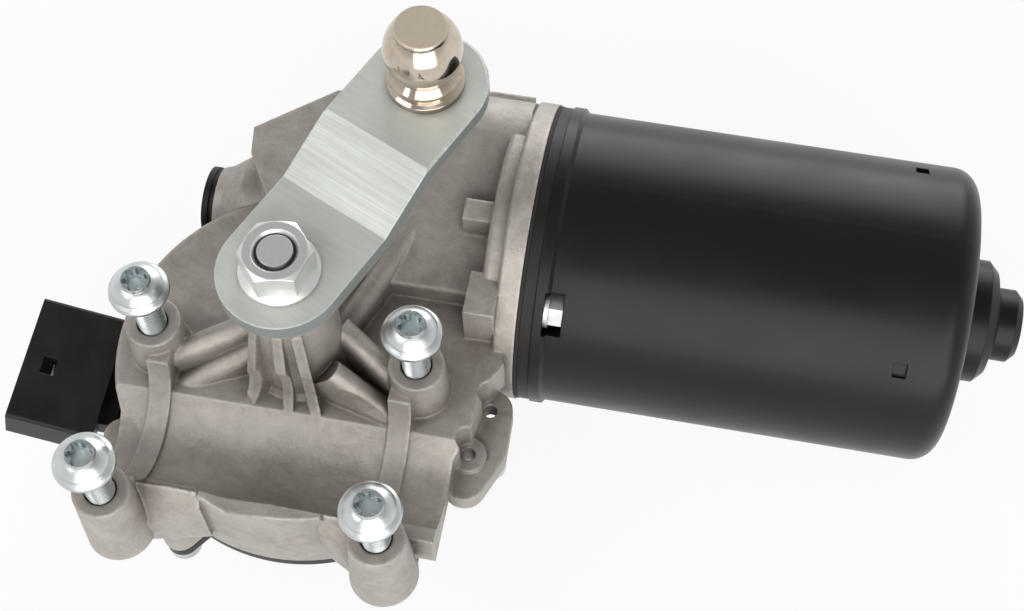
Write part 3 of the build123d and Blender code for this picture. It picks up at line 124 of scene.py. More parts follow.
class MotorSizes(bpy.types.PropertyGroup):
    screw_radius: bpy.props.FloatProperty(
        name="Screw radius",
        description="Radius over the mounting screws' threads",
        default=3.0 * MM,
        unit="LENGTH",
    )
    screw_head_radius: bpy.props.FloatProperty(
        name="Screw head radius",
        description="Radius of the mounting screws' flanged heads",
        default=6.25 * MM,
        unit="LENGTH",
    )
    screw_pitch: bpy.props.FloatProperty(
        name="Thread pitch",
        description="Pitch of the mounting screws' threads",
        default=1.0 * MM,
        unit="LENGTH",
    )
    edge_rounding: bpy.props.FloatProperty(
        name="Casting edge radius",
        description="Rounding of the casting's edges in its finish",
        default=0.8 * MM,
        unit="LENGTH",
    )
    lens: bpy.props.FloatProperty(
        name="Lens",
        description="Focal length of the camera, for a sensor 36 mm wide",
        default=64.2,
        min=10.0,
        unit="CAMERA",
    )


def sizes():
    """The sizes set in the scene."""
    return bpy.context.scene.motor_sizes


def colours():
    """The colours set in the scene."""
    return bpy.context.scene.motor_colours


# Nodes: small helpers for materials, node groups and the world


def wire(tree, source, target):
    """Join two sockets."""
    tree.links.new(source, target)


def put(tree, value, target):
    """Feed a socket from another socket, or set it to a number."""
    if isinstance(value, bpy.types.NodeSocket):
        wire(tree, value, target)
    else:
        target.default_value = value


def object_space(tree):
    """The Object coordinates of the surface."""
    return tree.nodes.new("ShaderNodeTexCoord").outputs["Object"]


def noise(tree, vector, scale, detail=4.0, roughness=0.55, distortion=0.0):
    """The value of a noise texture. Its scale, a number or a socket, is in features to the metre."""
    node = tree.nodes.new("ShaderNodeTexNoise")
    node.inputs["Detail"].default_value = detail
    node.inputs["Roughness"].default_value = roughness
    node.inputs["Distortion"].default_value = distortion
    wire(tree, vector, node.inputs["Vector"])
    put(tree, scale, node.inputs["Scale"])
    return node.outputs["Fac"]


def remap(tree, value, low, high, to_low=0.0, to_high=1.0):
    """A value moved from one range to another, and held inside it."""
    node = tree.nodes.new("ShaderNodeMapRange")
    node.inputs["From Min"].default_value = low
    node.inputs["From Max"].default_value = high
    node.inputs["To Min"].default_value = to_low
    node.inputs["To Max"].default_value = to_high
    wire(tree, value, node.inputs["Value"])
    return node.outputs["Result"]


def between(tree, mask, start, end):
    """A value that runs from start to end as a mask goes from 0 to 1."""
    return remap(tree, mask, 0.0, 1.0, start, end)


def maths(tree, operation, first, second=0.0):
    """One sum on one or two values, each a socket or a number."""
    node = tree.nodes.new("ShaderNodeMath")
    node.operation = operation
    put(tree, first, node.inputs[0])
    put(tree, second, node.inputs[1])
    return node.outputs[0]


def times(tree, first, second):
    """The product of two values, each a socket or a number."""
    return maths(tree, "MULTIPLY", first, second)


# Sockets of the Mix node when it mixes colours
MIX_FACTOR, MIX_FIRST, MIX_SECOND, MIX_RESULT = 0, 6, 7, 2


def mix_colour(tree, mask, first, second):
    """The first colour where the mask is 0 and the second where it is 1, each a socket or a colour."""
    node = tree.nodes.new("ShaderNodeMix")
    node.data_type = "RGBA"
    put(tree, mask, node.inputs[MIX_FACTOR])
    for place, colour in ((MIX_FIRST, first), (MIX_SECOND, second)):
        is_socket = isinstance(colour, bpy.types.NodeSocket)
        put(tree, colour if is_socket else (*colour, 1.0), node.inputs[place])
    return node.outputs[MIX_RESULT]


def shade(colour, share):
    """A colour made darker or lighter by one share, or by a share for each channel."""
    shares = share if isinstance(share, tuple) else (share, share, share)
    return [min(1.0, channel * part) for channel, part in zip(colour, shares)]


# Shared effects as node groups


def new_group(name, inputs, outputs):
    """An empty node group. An input without a value takes a vector, and all other sockets numbers."""
    group = bpy.data.node_groups.new(name, "ShaderNodeTree")
    for socket, value in inputs.items():
        kind = "NodeSocketVector" if value is None else "NodeSocketFloat"
        made = group.interface.new_socket(socket, in_out="INPUT", socket_type=kind)
        if value is not None:
            made.default_value = value
    for socket in outputs:
        group.interface.new_socket(socket, in_out="OUTPUT", socket_type="NodeSocketFloat")
    inside = group.nodes.new("NodeGroupInput").outputs
    outside = group.nodes.new("NodeGroupOutput").inputs
    return group, inside, outside


def place_group(tree, name, **values):
    """A node group placed in a material with its own values."""
    node = tree.nodes.new("ShaderNodeGroup")
    node.node_tree = bpy.data.node_groups[name]
    for socket, value in values.items():
        node.inputs[socket].default_value = value
    return node


# Cosines between the plain and the rounded normal, where edge wearing and painted edge highlights begin
# and where they are complete
WEAR_AND_HIGHLIGHT_BEGINS, WEAR_AND_HIGHLIGHT_COMPLETE = 0.98, 0.80
# Shares of open sky over a spot, where painted shade and grime begin and where they are deepest
SHADE_AND_DIRT_BEGINS, SHADE_AND_DIRT_DEEPEST = 0.92, 0.35
# Streaks to the metre along and across their length
STREAKS = (22.0, 900.0, 900.0)


def build_edge_wear_and_highlight():
    """Mask of outside edges, lighter from wearing and as painted edge highlights, from the gap between
    the plain and the rounded normal.
    """
    group, inside, outside = new_group("edge_wear_and_highlight", {"Width": 0.8 * MM, "Amount": 1.0}, ["Mask"])
    bevel = group.nodes.new("ShaderNodeBevel")
    bevel.samples = 4
    plain = group.nodes.new("ShaderNodeNewGeometry")
    wire(group, inside["Width"], bevel.inputs["Radius"])
    dot = group.nodes.new("ShaderNodeVectorMath")
    dot.operation = "DOT_PRODUCT"
    wire(group, bevel.outputs["Normal"], dot.inputs[0])
    wire(group, plain.outputs["Normal"], dot.inputs[1])
    edge = remap(group, dot.outputs["Value"], WEAR_AND_HIGHLIGHT_BEGINS, WEAR_AND_HIGHLIGHT_COMPLETE)
    broken = remap(group, noise(group, object_space(group), 900.0), 0.35, 0.6)
    worn_and_highlit = times(group, edge, broken)
    wire(group, times(group, worn_and_highlit, inside["Amount"]), outside["Mask"])


def build_crevice_shade_and_dirt():
    """Mask of grooves and corners: painted shade where they lie in shade, and the grime and release agent
    that settle there.
    """
    group, inside, outside = new_group("crevice_shade_and_dirt", {"Reach": 6.0 * MM, "Amount": 1.0}, ["Mask"])
    hollow = group.nodes.new("ShaderNodeAmbientOcclusion")
    hollow.samples = 6
    wire(group, inside["Reach"], hollow.inputs["Distance"])
    deep = remap(group, hollow.outputs["AO"], SHADE_AND_DIRT_BEGINS, SHADE_AND_DIRT_DEEPEST)
    patchy = remap(group, noise(group, object_space(group), 160.0, 5.0), 0.30, 0.62, 0.55, 1.0)
    deep = times(group, deep, patchy)
    wire(group, times(group, deep, inside["Amount"]), outside["Mask"])


def build_cast_grain():
    """Fine grain, faint flow marks, specks and stains of a raw die casting."""
    group, inside, outside = new_group(
        "cast_grain",
        {"Grain": 2600.0, "Depth": 1.0},
        ["Height", "Stain", "Flow", "Speck"],
    )
    space = object_space(group)
    fine = noise(group, space, inside["Grain"], detail=6.0, roughness=0.7)
    lumps = noise(group, space, 420.0, detail=3.0)
    height = maths(group, "ADD", fine, times(group, lumps, 2.2))
    wire(group, times(group, height, inside["Depth"]), outside["Height"])
    stain = noise(group, space, 38.0, detail=6.0, roughness=0.62)
    wire(group, remap(group, stain, 0.32, 0.70), outside["Stain"])
    flow = noise(group, space, 150.0, detail=9.0, roughness=0.72, distortion=1.4)
    wire(group, remap(group, flow, 0.34, 0.66), outside["Flow"])
    speck = noise(group, space, 1500.0, detail=2.0)
    wire(group, remap(group, speck, 0.62, 0.74), outside["Speck"])


def build_streaks():
    """Long scratches along X of the given coordinates, of mixed strength."""
    group, inside, outside = new_group(
        "long_streaks",
        {"Vector": None, "Fineness": 1.0},
        ["Height", "Shade"],
    )
    stretch = group.nodes.new("ShaderNodeVectorMath")
    stretch.operation = "MULTIPLY"
    stretch.inputs[1].default_value = STREAKS
    wire(group, inside["Vector"], stretch.inputs[0])
    fine = noise(group, stretch.outputs["Vector"], inside["Fineness"], detail=5.0, roughness=0.72)
    wire(group, fine, outside["Height"])
    wire(group, remap(group, fine, 0.35, 0.68), outside["Shade"])


def build_handling():
    """Smudges that change roughness over a surface, and settled dust."""
    group, inside, outside = new_group("handling_marks", {"Scale": 60.0}, ["Smudge", "Dust"])
    space = object_space(group)
    smudge = noise(group, space, inside["Scale"], detail=8.0, roughness=0.62)
    wire(group, remap(group, smudge, 0.35, 0.68), outside["Smudge"])
    specks = noise(group, space, 2200.0, detail=2.0)
    wire(group, remap(group, specks, 0.70, 0.80), outside["Dust"])


# Finishes


def new_finish(name):
    """The node tree of a new material, and its Principled shader."""
    material = bpy.data.materials.new(name)
    material.use_nodes = True
    return material.node_tree, material.node_tree.nodes["Principled BSDF"]


def set_roughness(tree, shader, mask, start, end):
    """Roughness that runs from start to end as a mask goes from 0 to 1."""
    wire(tree, between(tree, mask, start, end), shader.inputs["Roughness"])


def rounded_bump(tree, shader, height, strength, distance, radius):
    """Bump on top of rounded edges, fed to the shader's normal."""
    bevel = tree.nodes.new("ShaderNodeBevel")
    bevel.samples = 6
    bevel.inputs["Radius"].default_value = radius
    bump = tree.nodes.new("ShaderNodeBump")
    bump.inputs["Strength"].default_value = strength
    bump.inputs["Distance"].default_value = distance
    wire(tree, height, bump.inputs["Height"])
    wire(tree, bevel.outputs["Normal"], bump.inputs["Normal"])
    wire(tree, bump.outputs["Normal"], shader.inputs["Normal"])


def cast_metal(name, colour):
    """Raw die-cast aluminium: warm grey, satin, finely grained, lighter at its edges from wearing and
    painted edge highlights, darker in its hollows from painted shade and grime.
    """
    tree, shader = new_finish(name)
    grain = place_group(tree, "cast_grain", Grain=2600.0, Depth=1.0)
    wear_and_highlight = place_group(tree, "edge_wear_and_highlight", Width=1.5 * MM, Amount=0.75)
    marks = place_group(tree, "handling_marks", Scale=90.0)
    shade_and_dirt = place_group(tree, "crevice_shade_and_dirt", Reach=7.0 * MM, Amount=0.85)
    darker = shade(colour, (0.62, 0.59, 0.56))
    lighter = shade(colour, 1.55)
    shaded_grimy = shade(colour, (0.30, 0.265, 0.235))
    body = mix_colour(tree, grain.outputs["Stain"], darker, colour)
    body = mix_colour(tree, times(tree, grain.outputs["Flow"], 0.36), body, lighter)
    body = mix_colour(tree, times(tree, grain.outputs["Speck"], 0.22), body, lighter)
    # Lighter outside edges: wearing, and painted edge highlights
    body = mix_colour(tree, wear_and_highlight.outputs["Mask"], body, lighter)
    # Darker grooves and corners: painted shade, with some grime
    body = mix_colour(tree, shade_and_dirt.outputs["Mask"], body, shaded_grimy)
    wire(tree, body, shader.inputs["Base Color"])
    shader.inputs["Metallic"].default_value = 0.48
    set_roughness(tree, shader, marks.outputs["Smudge"], 0.40, 0.54)
    height = grain.outputs["Height"]
    radius = sizes().edge_rounding
    rounded_bump(tree, shader, height, strength=0.50, distance=0.17 * MM, radius=radius)


def satin_paint(name, colour):
    """Satin black paint with a faint orange peel and a little dust."""
    tree, shader = new_finish(name)
    marks = place_group(tree, "handling_marks", Scale=45.0)
    peel = noise(tree, object_space(tree), 900.0, detail=2.0, roughness=0.5)
    dust = (0.12, 0.12, 0.12)
    body = mix_colour(tree, times(tree, marks.outputs["Dust"], 0.25), colour, dust)
    wire(tree, body, shader.inputs["Base Color"])
    set_roughness(tree, shader, marks.outputs["Smudge"], 0.30, 0.40)
    shader.inputs["Specular IOR Level"].default_value = 0.23
    rounded_bump(tree, shader, peel, strength=0.12, distance=0.1 * MM, radius=0.35 * MM)


def crank_plate(name, colour, angle):
    """Zinc-plated plate steel, with long mill streaks across the crank's sloping part."""
    tree, shader = new_finish(name)
    turn = tree.nodes.new("ShaderNodeMapping")
    turn.inputs["Rotation"].default_value = (0.0, 0.0, angle)
    wire(tree, object_space(tree), turn.inputs["Vector"])
    streaks = place_group(tree, "long_streaks", Fineness=1.6)
    wire(tree, turn.outputs["Vector"], streaks.inputs["Vector"])
    wear_and_highlight = place_group(tree, "edge_wear_and_highlight", Width=0.7 * MM, Amount=0.6)
    marks = place_group(tree, "handling_marks", Scale=70.0)
    shade_and_dirt = place_group(tree, "crevice_shade_and_dirt", Reach=3.0 * MM, Amount=0.6)
    # The level parts face straight up, the sloping part less so, and the cut edges sideways; the level
    # parts take a little painted shade and the sideways edges much more
    facing = tree.nodes.new("ShaderNodeSeparateXYZ")
    wire(tree, tree.nodes.new("ShaderNodeNewGeometry").outputs["Normal"], facing.inputs["Vector"])
    level = remap(tree, facing.outputs["Z"], 0.90, 0.97)
    streaked = between(tree, level, 1.0, 0.25)
    cut_edge_shade = remap(tree, maths(tree, "ABSOLUTE", facing.outputs["Z"]), 0.45, 0.20)
    darker = shade(colour, 0.52)
    level_shade_colour = shade(colour, (0.92, 0.925, 0.90))
    lighter = shade(colour, 1.25)
    edge_shade_colour = shade(colour, (0.40, 0.43, 0.44))
    # Level parts a little darker: painted shade
    body = mix_colour(tree, level, colour, level_shade_colour)
    body = mix_colour(tree, times(tree, streaks.outputs["Shade"], streaked), body, darker)
    body = mix_colour(tree, times(tree, marks.outputs["Smudge"], 0.22), body, darker)
    # Sideways cut edges much darker: painted shade
    body = mix_colour(tree, cut_edge_shade, body, edge_shade_colour)
    # Lighter outside edges: wearing, and painted edge highlights
    body = mix_colour(tree, wear_and_highlight.outputs["Mask"], body, lighter)
    # Darker grooves and corners: painted shade, with some grime
    body = mix_colour(tree, shade_and_dirt.outputs["Mask"], body, shade(colour, 0.35))
    wire(tree, body, shader.inputs["Base Color"])
    shader.inputs["Metallic"].default_value = 0.5
    set_roughness(tree, shader, streaks.outputs["Shade"], 0.52, 0.42)
    height = times(tree, streaks.outputs["Height"], streaked)
    rounded_bump(tree, shader, height, strength=0.35, distance=0.08 * MM, radius=0.4 * MM)


def ball_plate(name, colour, face_colour, face_height):
    """Bright nickel plate, with the matt, warmer end face of the ball pin."""
    tree, shader = new_finish(name)
    marks = place_group(tree, "handling_marks", Scale=160.0)
    shade_and_dirt = place_group(tree, "crevice_shade_and_dirt", Reach=6.0 * MM, Amount=0.95)
    place = tree.nodes.new("ShaderNodeSeparateXYZ")
    wire(tree, object_space(tree), place.inputs["Vector"])
    end_face = remap(tree, place.outputs["Z"], face_height - 0.35 * MM, face_height - 0.10 * MM)
    mottle = noise(tree, object_space(tree), 700.0, detail=5.0)
    face = mix_colour(tree, mottle, shade(face_colour, 0.80), face_colour)
    smudged = shade(colour, (0.74, 0.68, 0.61))
    shaded_grimy = shade(colour, (0.20, 0.155, 0.12))
    body = mix_colour(tree, marks.outputs["Smudge"], colour, smudged)
    # Hollows and the parts under the ball darkened warm brown: painted shade and painted dark reflection,
    # with some grime
    body = mix_colour(tree, shade_and_dirt.outputs["Mask"], body, shaded_grimy)
    wire(tree, mix_colour(tree, end_face, body, face), shader.inputs["Base Color"])
    wire(tree, between(tree, end_face, 1.0, 0.35), shader.inputs["Metallic"])
    polish = between(tree, marks.outputs["Smudge"], 0.07, 0.15)
    rough = maths(tree, "ADD", polish, times(tree, end_face, 0.40))
    wire(tree, rough, shader.inputs["Roughness"])
    rounded_bump(tree, shader, mottle, strength=0.05, distance=0.05 * MM, radius=0.2 * MM)


def nut_zinc(name, colour, centre, gap_radius, gap_width):
    """Satin zinc plate with a ring of painted shade over the thread gap round the shaft's end."""
    tree, shader = new_finish(name)
    marks = place_group(tree, "handling_marks", Scale=120.0)
    shade_and_dirt = place_group(tree, "crevice_shade_and_dirt", Reach=2.0 * MM, Amount=0.55)
    middle = tree.nodes.new("ShaderNodeMapping")
    middle.inputs["Location"].default_value = (-centre.x, -centre.y, 0.0)
    middle.inputs["Scale"].default_value = (1.0, 1.0, 0.0)
    wire(tree, object_space(tree), middle.inputs["Vector"])
    reach = tree.nodes.new("ShaderNodeVectorMath")
    reach.operation = "LENGTH"
    wire(tree, middle.outputs["Vector"], reach.inputs[0])
    away = maths(tree, "ABSOLUTE", maths(tree, "SUBTRACT", reach.outputs["Value"], gap_radius))
    gap = remap(tree, away, gap_width, gap_width * 0.55)
    gap_shade_colour = (0.035, 0.036, 0.035)
    body = mix_colour(tree, marks.outputs["Smudge"], colour, shade(colour, 0.80))
    # Darker grooves and corners: painted shade, with some grime
    body = mix_colour(tree, shade_and_dirt.outputs["Mask"], body, shade(colour, 0.35))
    # A dark ring over the thread gap: painted shade
    body = mix_colour(tree, gap, body, gap_shade_colour)
    wire(tree, body, shader.inputs["Base Color"])
    shader.inputs["Metallic"].default_value = 0.75
    set_roughness(tree, shader, marks.outputs["Smudge"], 0.26, 0.40)
    grain = noise(tree, object_space(tree), 2200.0, detail=3.0)
    rounded_bump(tree, shader, grain, strength=0.15, distance=0.05 * MM, radius=0.3 * MM)


def bright_metal(name, colour, rough, rounding=0.25, grain=3000.0, depth=0.1):
    """Plated or ground metal with fine handling marks. The rounding is in millimetres."""
    tree, shader = new_finish(name)
    marks = place_group(tree, "handling_marks", Scale=160.0)
    shade_and_dirt = place_group(tree, "crevice_shade_and_dirt", Reach=2.5 * MM, Amount=0.70)
    body = mix_colour(tree, marks.outputs["Smudge"], colour, shade(colour, 0.78))
    # Darker grooves and corners: painted shade, with some grime
    body = mix_colour(tree, shade_and_dirt.outputs["Mask"], body, shade(colour, 0.30))
    wire(tree, body, shader.inputs["Base Color"])
    shader.inputs["Metallic"].default_value = 1.0
    set_roughness(tree, shader, marks.outputs["Smudge"], *rough)
    height = noise(tree, object_space(tree), grain, detail=3.0)
    rounded_bump(tree, shader, height, strength=depth, distance=0.05 * MM, radius=rounding * MM)


def moulded(name, colour, rough, depth=0.35, grain=1800.0):
    """Moulded plastic, rubber or sintered powder with a fine sparked texture."""
    tree, shader = new_finish(name)
    marks = place_group(tree, "handling_marks", Scale=70.0)
    lighter = [min(1.0, channel * 1.8 + 0.004) for channel in colour]
    body = mix_colour(tree, marks.outputs["Smudge"], colour, lighter)
    wire(tree, body, shader.inputs["Base Color"])
    set_roughness(tree, shader, marks.outputs["Smudge"], *rough)
    shader.inputs["Specular IOR Level"].default_value = 0.25
    height = noise(tree, object_space(tree), grain, roughness=0.65)
    rounded_bump(tree, shader, height, strength=depth, distance=0.08 * MM, radius=0.35 * MM)


def wound_wire(name, colour):
    """Enamelled copper wire, as close rows of turns."""
    tree, shader = new_finish(name)
    rows = tree.nodes.new("ShaderNodeTexWave")
    rows.bands_direction = "DIAGONAL"
    rows.inputs["Scale"].default_value = 420.0
    rows.inputs["Distortion"].default_value = 1.5
    wire(tree, object_space(tree), rows.inputs["Vector"])
    body = mix_colour(tree, rows.outputs["Fac"], shade(colour, 0.35), colour)
    wire(tree, body, shader.inputs["Base Color"])
    shader.inputs["Metallic"].default_value = 0.8
    set_roughness(tree, shader, rows.outputs["Fac"], 0.5, 0.3)
    height = rows.outputs["Fac"]
    rounded_bump(tree, shader, height, strength=0.6, distance=0.2 * MM, radius=0.3 * MM)


# Plated, ground and sintered metals: the values that bright_metal takes
METALS = {
    "bright zinc": dict(colour=(0.63, 0.66, 0.66), rough=(0.24, 0.38), rounding=0.08),
    "head zinc": dict(
        colour=(0.70, 0.72, 0.72), rough=(0.40, 0.54), rounding=0.30, grain=1500.0, depth=0.5
    ),
    # A darker copy of the screws' zinc for thread and core: painted shade
    "shaded thread zinc": dict(colour=(0.46, 0.48, 0.48), rough=(0.24, 0.36), rounding=0.05),
    # A lighter, bluish copy of the screws' zinc for the recess walls: painted reflection
    "recess zinc painted reflection": dict(colour=(0.72, 0.80, 0.82), rough=(0.38, 0.50), rounding=0.08),
    "nickel plate": dict(
        colour=(0.74, 0.70, 0.64), rough=(0.05, 0.14), rounding=0.2, grain=600.0, depth=0.05
    ),
    "ground steel": dict(colour=(0.55, 0.55, 0.55), rough=(0.28, 0.42)),
    "sintered bronze": dict(
        colour=(0.62, 0.40, 0.18), rough=(0.38, 0.55), rounding=0.2, grain=4000.0, depth=0.3
    ),
    "copper": dict(colour=(0.78, 0.36, 0.19), rough=(0.24, 0.40)),
    "tinned brass": dict(colour=(0.80, 0.78, 0.72), rough=(0.20, 0.34)),
}

# Rubber, plastic and pressed powder: the values that moulded takes
MOULDINGS = {
    "black rubber": dict(colour=(0.012, 0.012, 0.012), rough=(0.55, 0.72), depth=0.25),
    "natural plastic": dict(colour=(0.74, 0.72, 0.64), rough=(0.35, 0.48), depth=0.2),
    "ferrite": dict(colour=(0.05, 0.05, 0.053), rough=(0.55, 0.70), depth=0.5, grain=2500.0),
    "carbon": dict(colour=(0.03, 0.03, 0.032), rough=(0.45, 0.60), depth=0.5, grain=3000.0),
    "dipped resin": dict(colour=(0.42, 0.20, 0.04), rough=(0.15, 0.25), depth=0.05, grain=400.0),
}

CRANK_TURN = 24.5  # in degrees, from Y to the crank's length

# The finish of each node
NODE_FINISHES = {
    "gear_housing": "die cast",
    "gear_cover": "black plastic",
    "motor_can": "satin paint",
    "crank_arm": "zinc plate",
    "crank_nut": "satin zinc",
    "ball_pin": "ball nickel",
    "mounting_screws": "bright zinc",
    "can_screws": "head zinc",
    "can_gasket": "black rubber",
    "brush_plate": "black plastic",
    "cover_seal": "black rubber",
    "cover_screws": "bright zinc",
    "connector_blades": "tinned brass",
    "end_plug": "black plastic",
    "output_shaft": "satin zinc",
    "drive_gear": "natural plastic",
    "park_disc": "copper",
    "park_fingers": "tinned brass",
    "lower_bush": "sintered bronze",
    "upper_bush": "sintered bronze",
    "thrust_washer": "ground steel",
    "shaft_oring": "black rubber",
    "top_washer": "ground steel",
    "retaining_ring": "ground steel",
    "magnets": "ferrite",
    "magnet_clips": "ground steel",
    "armature_shaft": "ground steel",
    "armature_core": "ground steel",
    "windings": "wound wire",
    "commutator": "copper",
    "commutator_hub": "black plastic",
    "bearing_outer_ring": "bright zinc",
    "bearing_inner_ring": "bright zinc",
    "bearing_balls": "nickel plate",
    "bearing_cage": "ground steel",
    "bearing_retainer": "ground steel",
    "worm_bush": "sintered bronze",
    "rear_bush": "sintered bronze",
    "rear_bush_clip": "ground steel",
    "thrust_pad": "natural plastic",
    "brush_holders": "sintered bronze",
    "brushes": "carbon",
    "brush_springs": "ground steel",
    "choke_coils": "wound wire",
    "capacitor": "dipped resin",
    "thermal_cutout": "tinned brass",
}


# Modelling helpers


def clear_selection():
    """Leave nothing selected."""
    if bpy.context.mode != "OBJECT":
        bpy.ops.object.mode_set(mode="OBJECT")
    bpy.ops.object.select_all(action="DESELECT")


def set_finish(piece, name):
    """Give a piece one finish."""
    piece.data.materials.clear()
    piece.data.materials.append(bpy.data.materials[name])


def settle(piece, smooth_angle=35.0):
    """Apply the place of a piece, turn its faces outwards and shade it smooth by angle."""
    clear_selection()
    piece.select_set(True)
    bpy.context.view_layer.objects.active = piece
    bpy.ops.object.transform_apply(location=True, rotation=True, scale=True)
    bpy.ops.object.mode_set(mode="EDIT")
    bpy.ops.mesh.select_all(action="SELECT")
    bpy.ops.mesh.remove_doubles(threshold=0.01 * MM)
    bpy.ops.mesh.normals_make_consistent(inside=False)
    bpy.ops.object.mode_set(mode="OBJECT")
    bpy.ops.object.shade_smooth_by_angle(angle=math.radians(smooth_angle))
    piece.select_set(False)


def lathe(name, outline, steps=64):
    """A turned piece: a capped ring, drawn up through points (radius, height) of its outline."""
    clear_selection()
    radius, height = outline[0]
    bpy.ops.mesh.primitive_circle_add(
        vertices=steps,
        radius=radius,
        location=(0, 0, height),
        fill_type="NGON",
    )
    piece = bpy.context.active_object
    piece.name = name
    bpy.ops.object.mode_set(mode="EDIT")
    bpy.ops.mesh.select_all(action="SELECT")
    for next_radius, next_height in outline[1:]:
        rise = (0, 0, next_height - height)
        bpy.ops.mesh.extrude_region_move(TRANSFORM_OT_translate={"value": rise})
        share = next_radius / radius
        bpy.ops.transform.resize(value=(share, share, 1.0))
        radius, height = next_radius, next_height
    bpy.ops.object.mode_set(mode="OBJECT")
    return piece


def arc_points(centre, radius, start, end, steps):
    """Points (radius, height) on an arc of a turned outline, by its angles in degrees."""
    points = []
    for step in range(steps + 1):
        angle = math.radians(start + (end - start) * step / steps)
        points.append((centre[0] + radius * math.cos(angle), centre[1] + radius * math.sin(angle)))
    return points


def cut(piece, tool):
    """Cut a closed tool out of a piece and remove the tool."""
    clear_selection()
    bpy.context.view_layer.objects.active = piece
    piece.select_set(True)
    modifier = piece.modifiers.new("cut", "BOOLEAN")
    modifier.operation = "DIFFERENCE"
    modifier.solver = "EXACT"
    modifier.object = tool
    bpy.ops.object.modifier_apply(modifier=modifier.name)
    bpy.data.objects.remove(tool, do_unlink=True)


def join(pieces, name):
    """One object of several."""
    clear_selection()
    for piece in pieces:
        piece.select_set(True)
    bpy.context.view_layer.objects.active = pieces[0]
    bpy.ops.object.join()
    joined = bpy.context.view_layer.objects.active
    joined.name = name
    joined.data.name = name
    return joined


# The camera's place in metres and its turns in degrees, fitted to the photograph
CAMERA_PLACE = (0.081048, -0.134410, 0.337135)
CAMERA_TURNS = (27.3067, 0.7507, 10.5813)
SENSOR_WIDTH = 36.0  # in millimetres


class MOTOR_OT_camera(bpy.types.Operator):
    """Place the camera where the product picture was taken from"""

    bl_idname = "motor.camera"
    bl_label = "Camera"

    def execute(self, context):
        data = bpy.data.cameras.new("camera")
        camera = bpy.data.objects.new("camera", data)
        context.collection.objects.link(camera)
        data.lens = sizes().lens
        data.sensor_width = SENSOR_WIDTH
        data.clip_start = 0.01
        data.clip_end = 10.0
        camera.location = CAMERA_PLACE
        camera.rotation_euler = Euler([math.radians(turn) for turn in CAMERA_TURNS])
        context.scene.camera = camera
        return {"FINISHED"}


class MOTOR_OT_finishes(bpy.types.Operator):
    """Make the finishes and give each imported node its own"""

    bl_idname = "motor.finishes"
    bl_label = "Finishes"

    def execute(self, context):
        build_edge_wear_and_highlight()
        build_crevice_shade_and_dirt()
        build_cast_grain()
        build_streaks()
        build_handling()
        chosen = colours()
        nut_middle = (nut_low + nut_high) / 2
        cast_metal("die cast", list(chosen.cast_metal))
        satin_paint("satin paint", list(chosen.paint))
        crank_plate("zinc plate", list(chosen.zinc), angle=math.radians(CRANK_TURN))
        nut_zinc("satin zinc", (0.74, 0.76, 0.73), nut_middle, gap_radius=3.78 * MM, gap_width=0.36 * MM)
        ball_plate("ball nickel", (0.66, 0.60, 0.52), (0.56, 0.475, 0.375), face_height=ball_top)
        for name, values in METALS.items():
            bright_metal(name, **values)
        wound_wire("wound wire", (0.70, 0.27, 0.10))
        moulded("black plastic", list(chosen.plastic), rough=(0.38, 0.52))
        for name, values in MOULDINGS.items():
            moulded(name, **values)
        for node, piece in frame["nodes"].items():
            if node not in NODE_FINISHES:
                raise RuntimeError(f"no finish is named for {node}")
            set_finish(piece, NODE_FINISHES[node])
        return {"FINISHED"}


# A mounting screw's head: heights over its underside, and insets from its edge
HEAD_HEIGHT = 5.4 * MM
NECK_LENGTH = 0.6 * MM
SEAT_INSET = 1.1 * MM
RIM_ROUNDING = 0.9 * MM
RIM_HEIGHT = 1.0 * MM
FLANGE_INSET = 1.15 * MM
FLANGE_HEIGHT = 2.3 * MM
DOME_RADIUS = 6.6 * MM
DOME_CENTRE = -1.2 * MM
FLAT_RADIUS = 2.9 * MM
# The star recess in a head
LOBES = 6
LOBE_RADIUS = 0.72 * MM
LOBE_REACH = 2.08 * MM
LOBE_DEPTH = 2.0 * MM
MIDDLE_RADIUS = 1.95 * MM
MIDDLE_DEPTH = 2.4 * MM
CLEARANCE = 1.0 * MM
# The thread: where it starts, and its depth and its profile's corner radius as shares of the pitch
THREAD_LOW = -13.0 * MM
THREAD_DEPTH = 0.61
THREAD_CORNER = 0.56
THREAD_STEPS = 32
SCREW_SMOOTHING = 40.0  # in degrees
# Each screw has stopped at a turn of its own: radians at the middle, and for each millimetre away from it
FIRST_TURN = 0.4
TURN_BY_X = 0.9
TURN_BY_Y = 0.5


def screw_head(under, top):
    """A domed, flanged head between two heights: neck, flange, dome and flat."""
    size = sizes()
    head = size.screw_head_radius
    outline = [
        (size.screw_radius, under - NECK_LENGTH),
        (size.screw_radius, under),
        (head - SEAT_INSET, under),
    ]
    rim_centre = (head - RIM_ROUNDING, under + RIM_HEIGHT)
    dome_centre = (0.0, under + DOME_CENTRE)
    outline += arc_points(rim_centre, RIM_ROUNDING, start=-60.0, end=70.0, steps=6)
    outline += [(head - FLANGE_INSET, under + FLANGE_HEIGHT)]
    outline += arc_points(dome_centre, DOME_RADIUS, start=38.0, end=62.0, steps=8)
    outline += [(FLAT_RADIUS, top)]
    head_piece = lathe("screw_head", outline)
    settle(head_piece)
    return head_piece


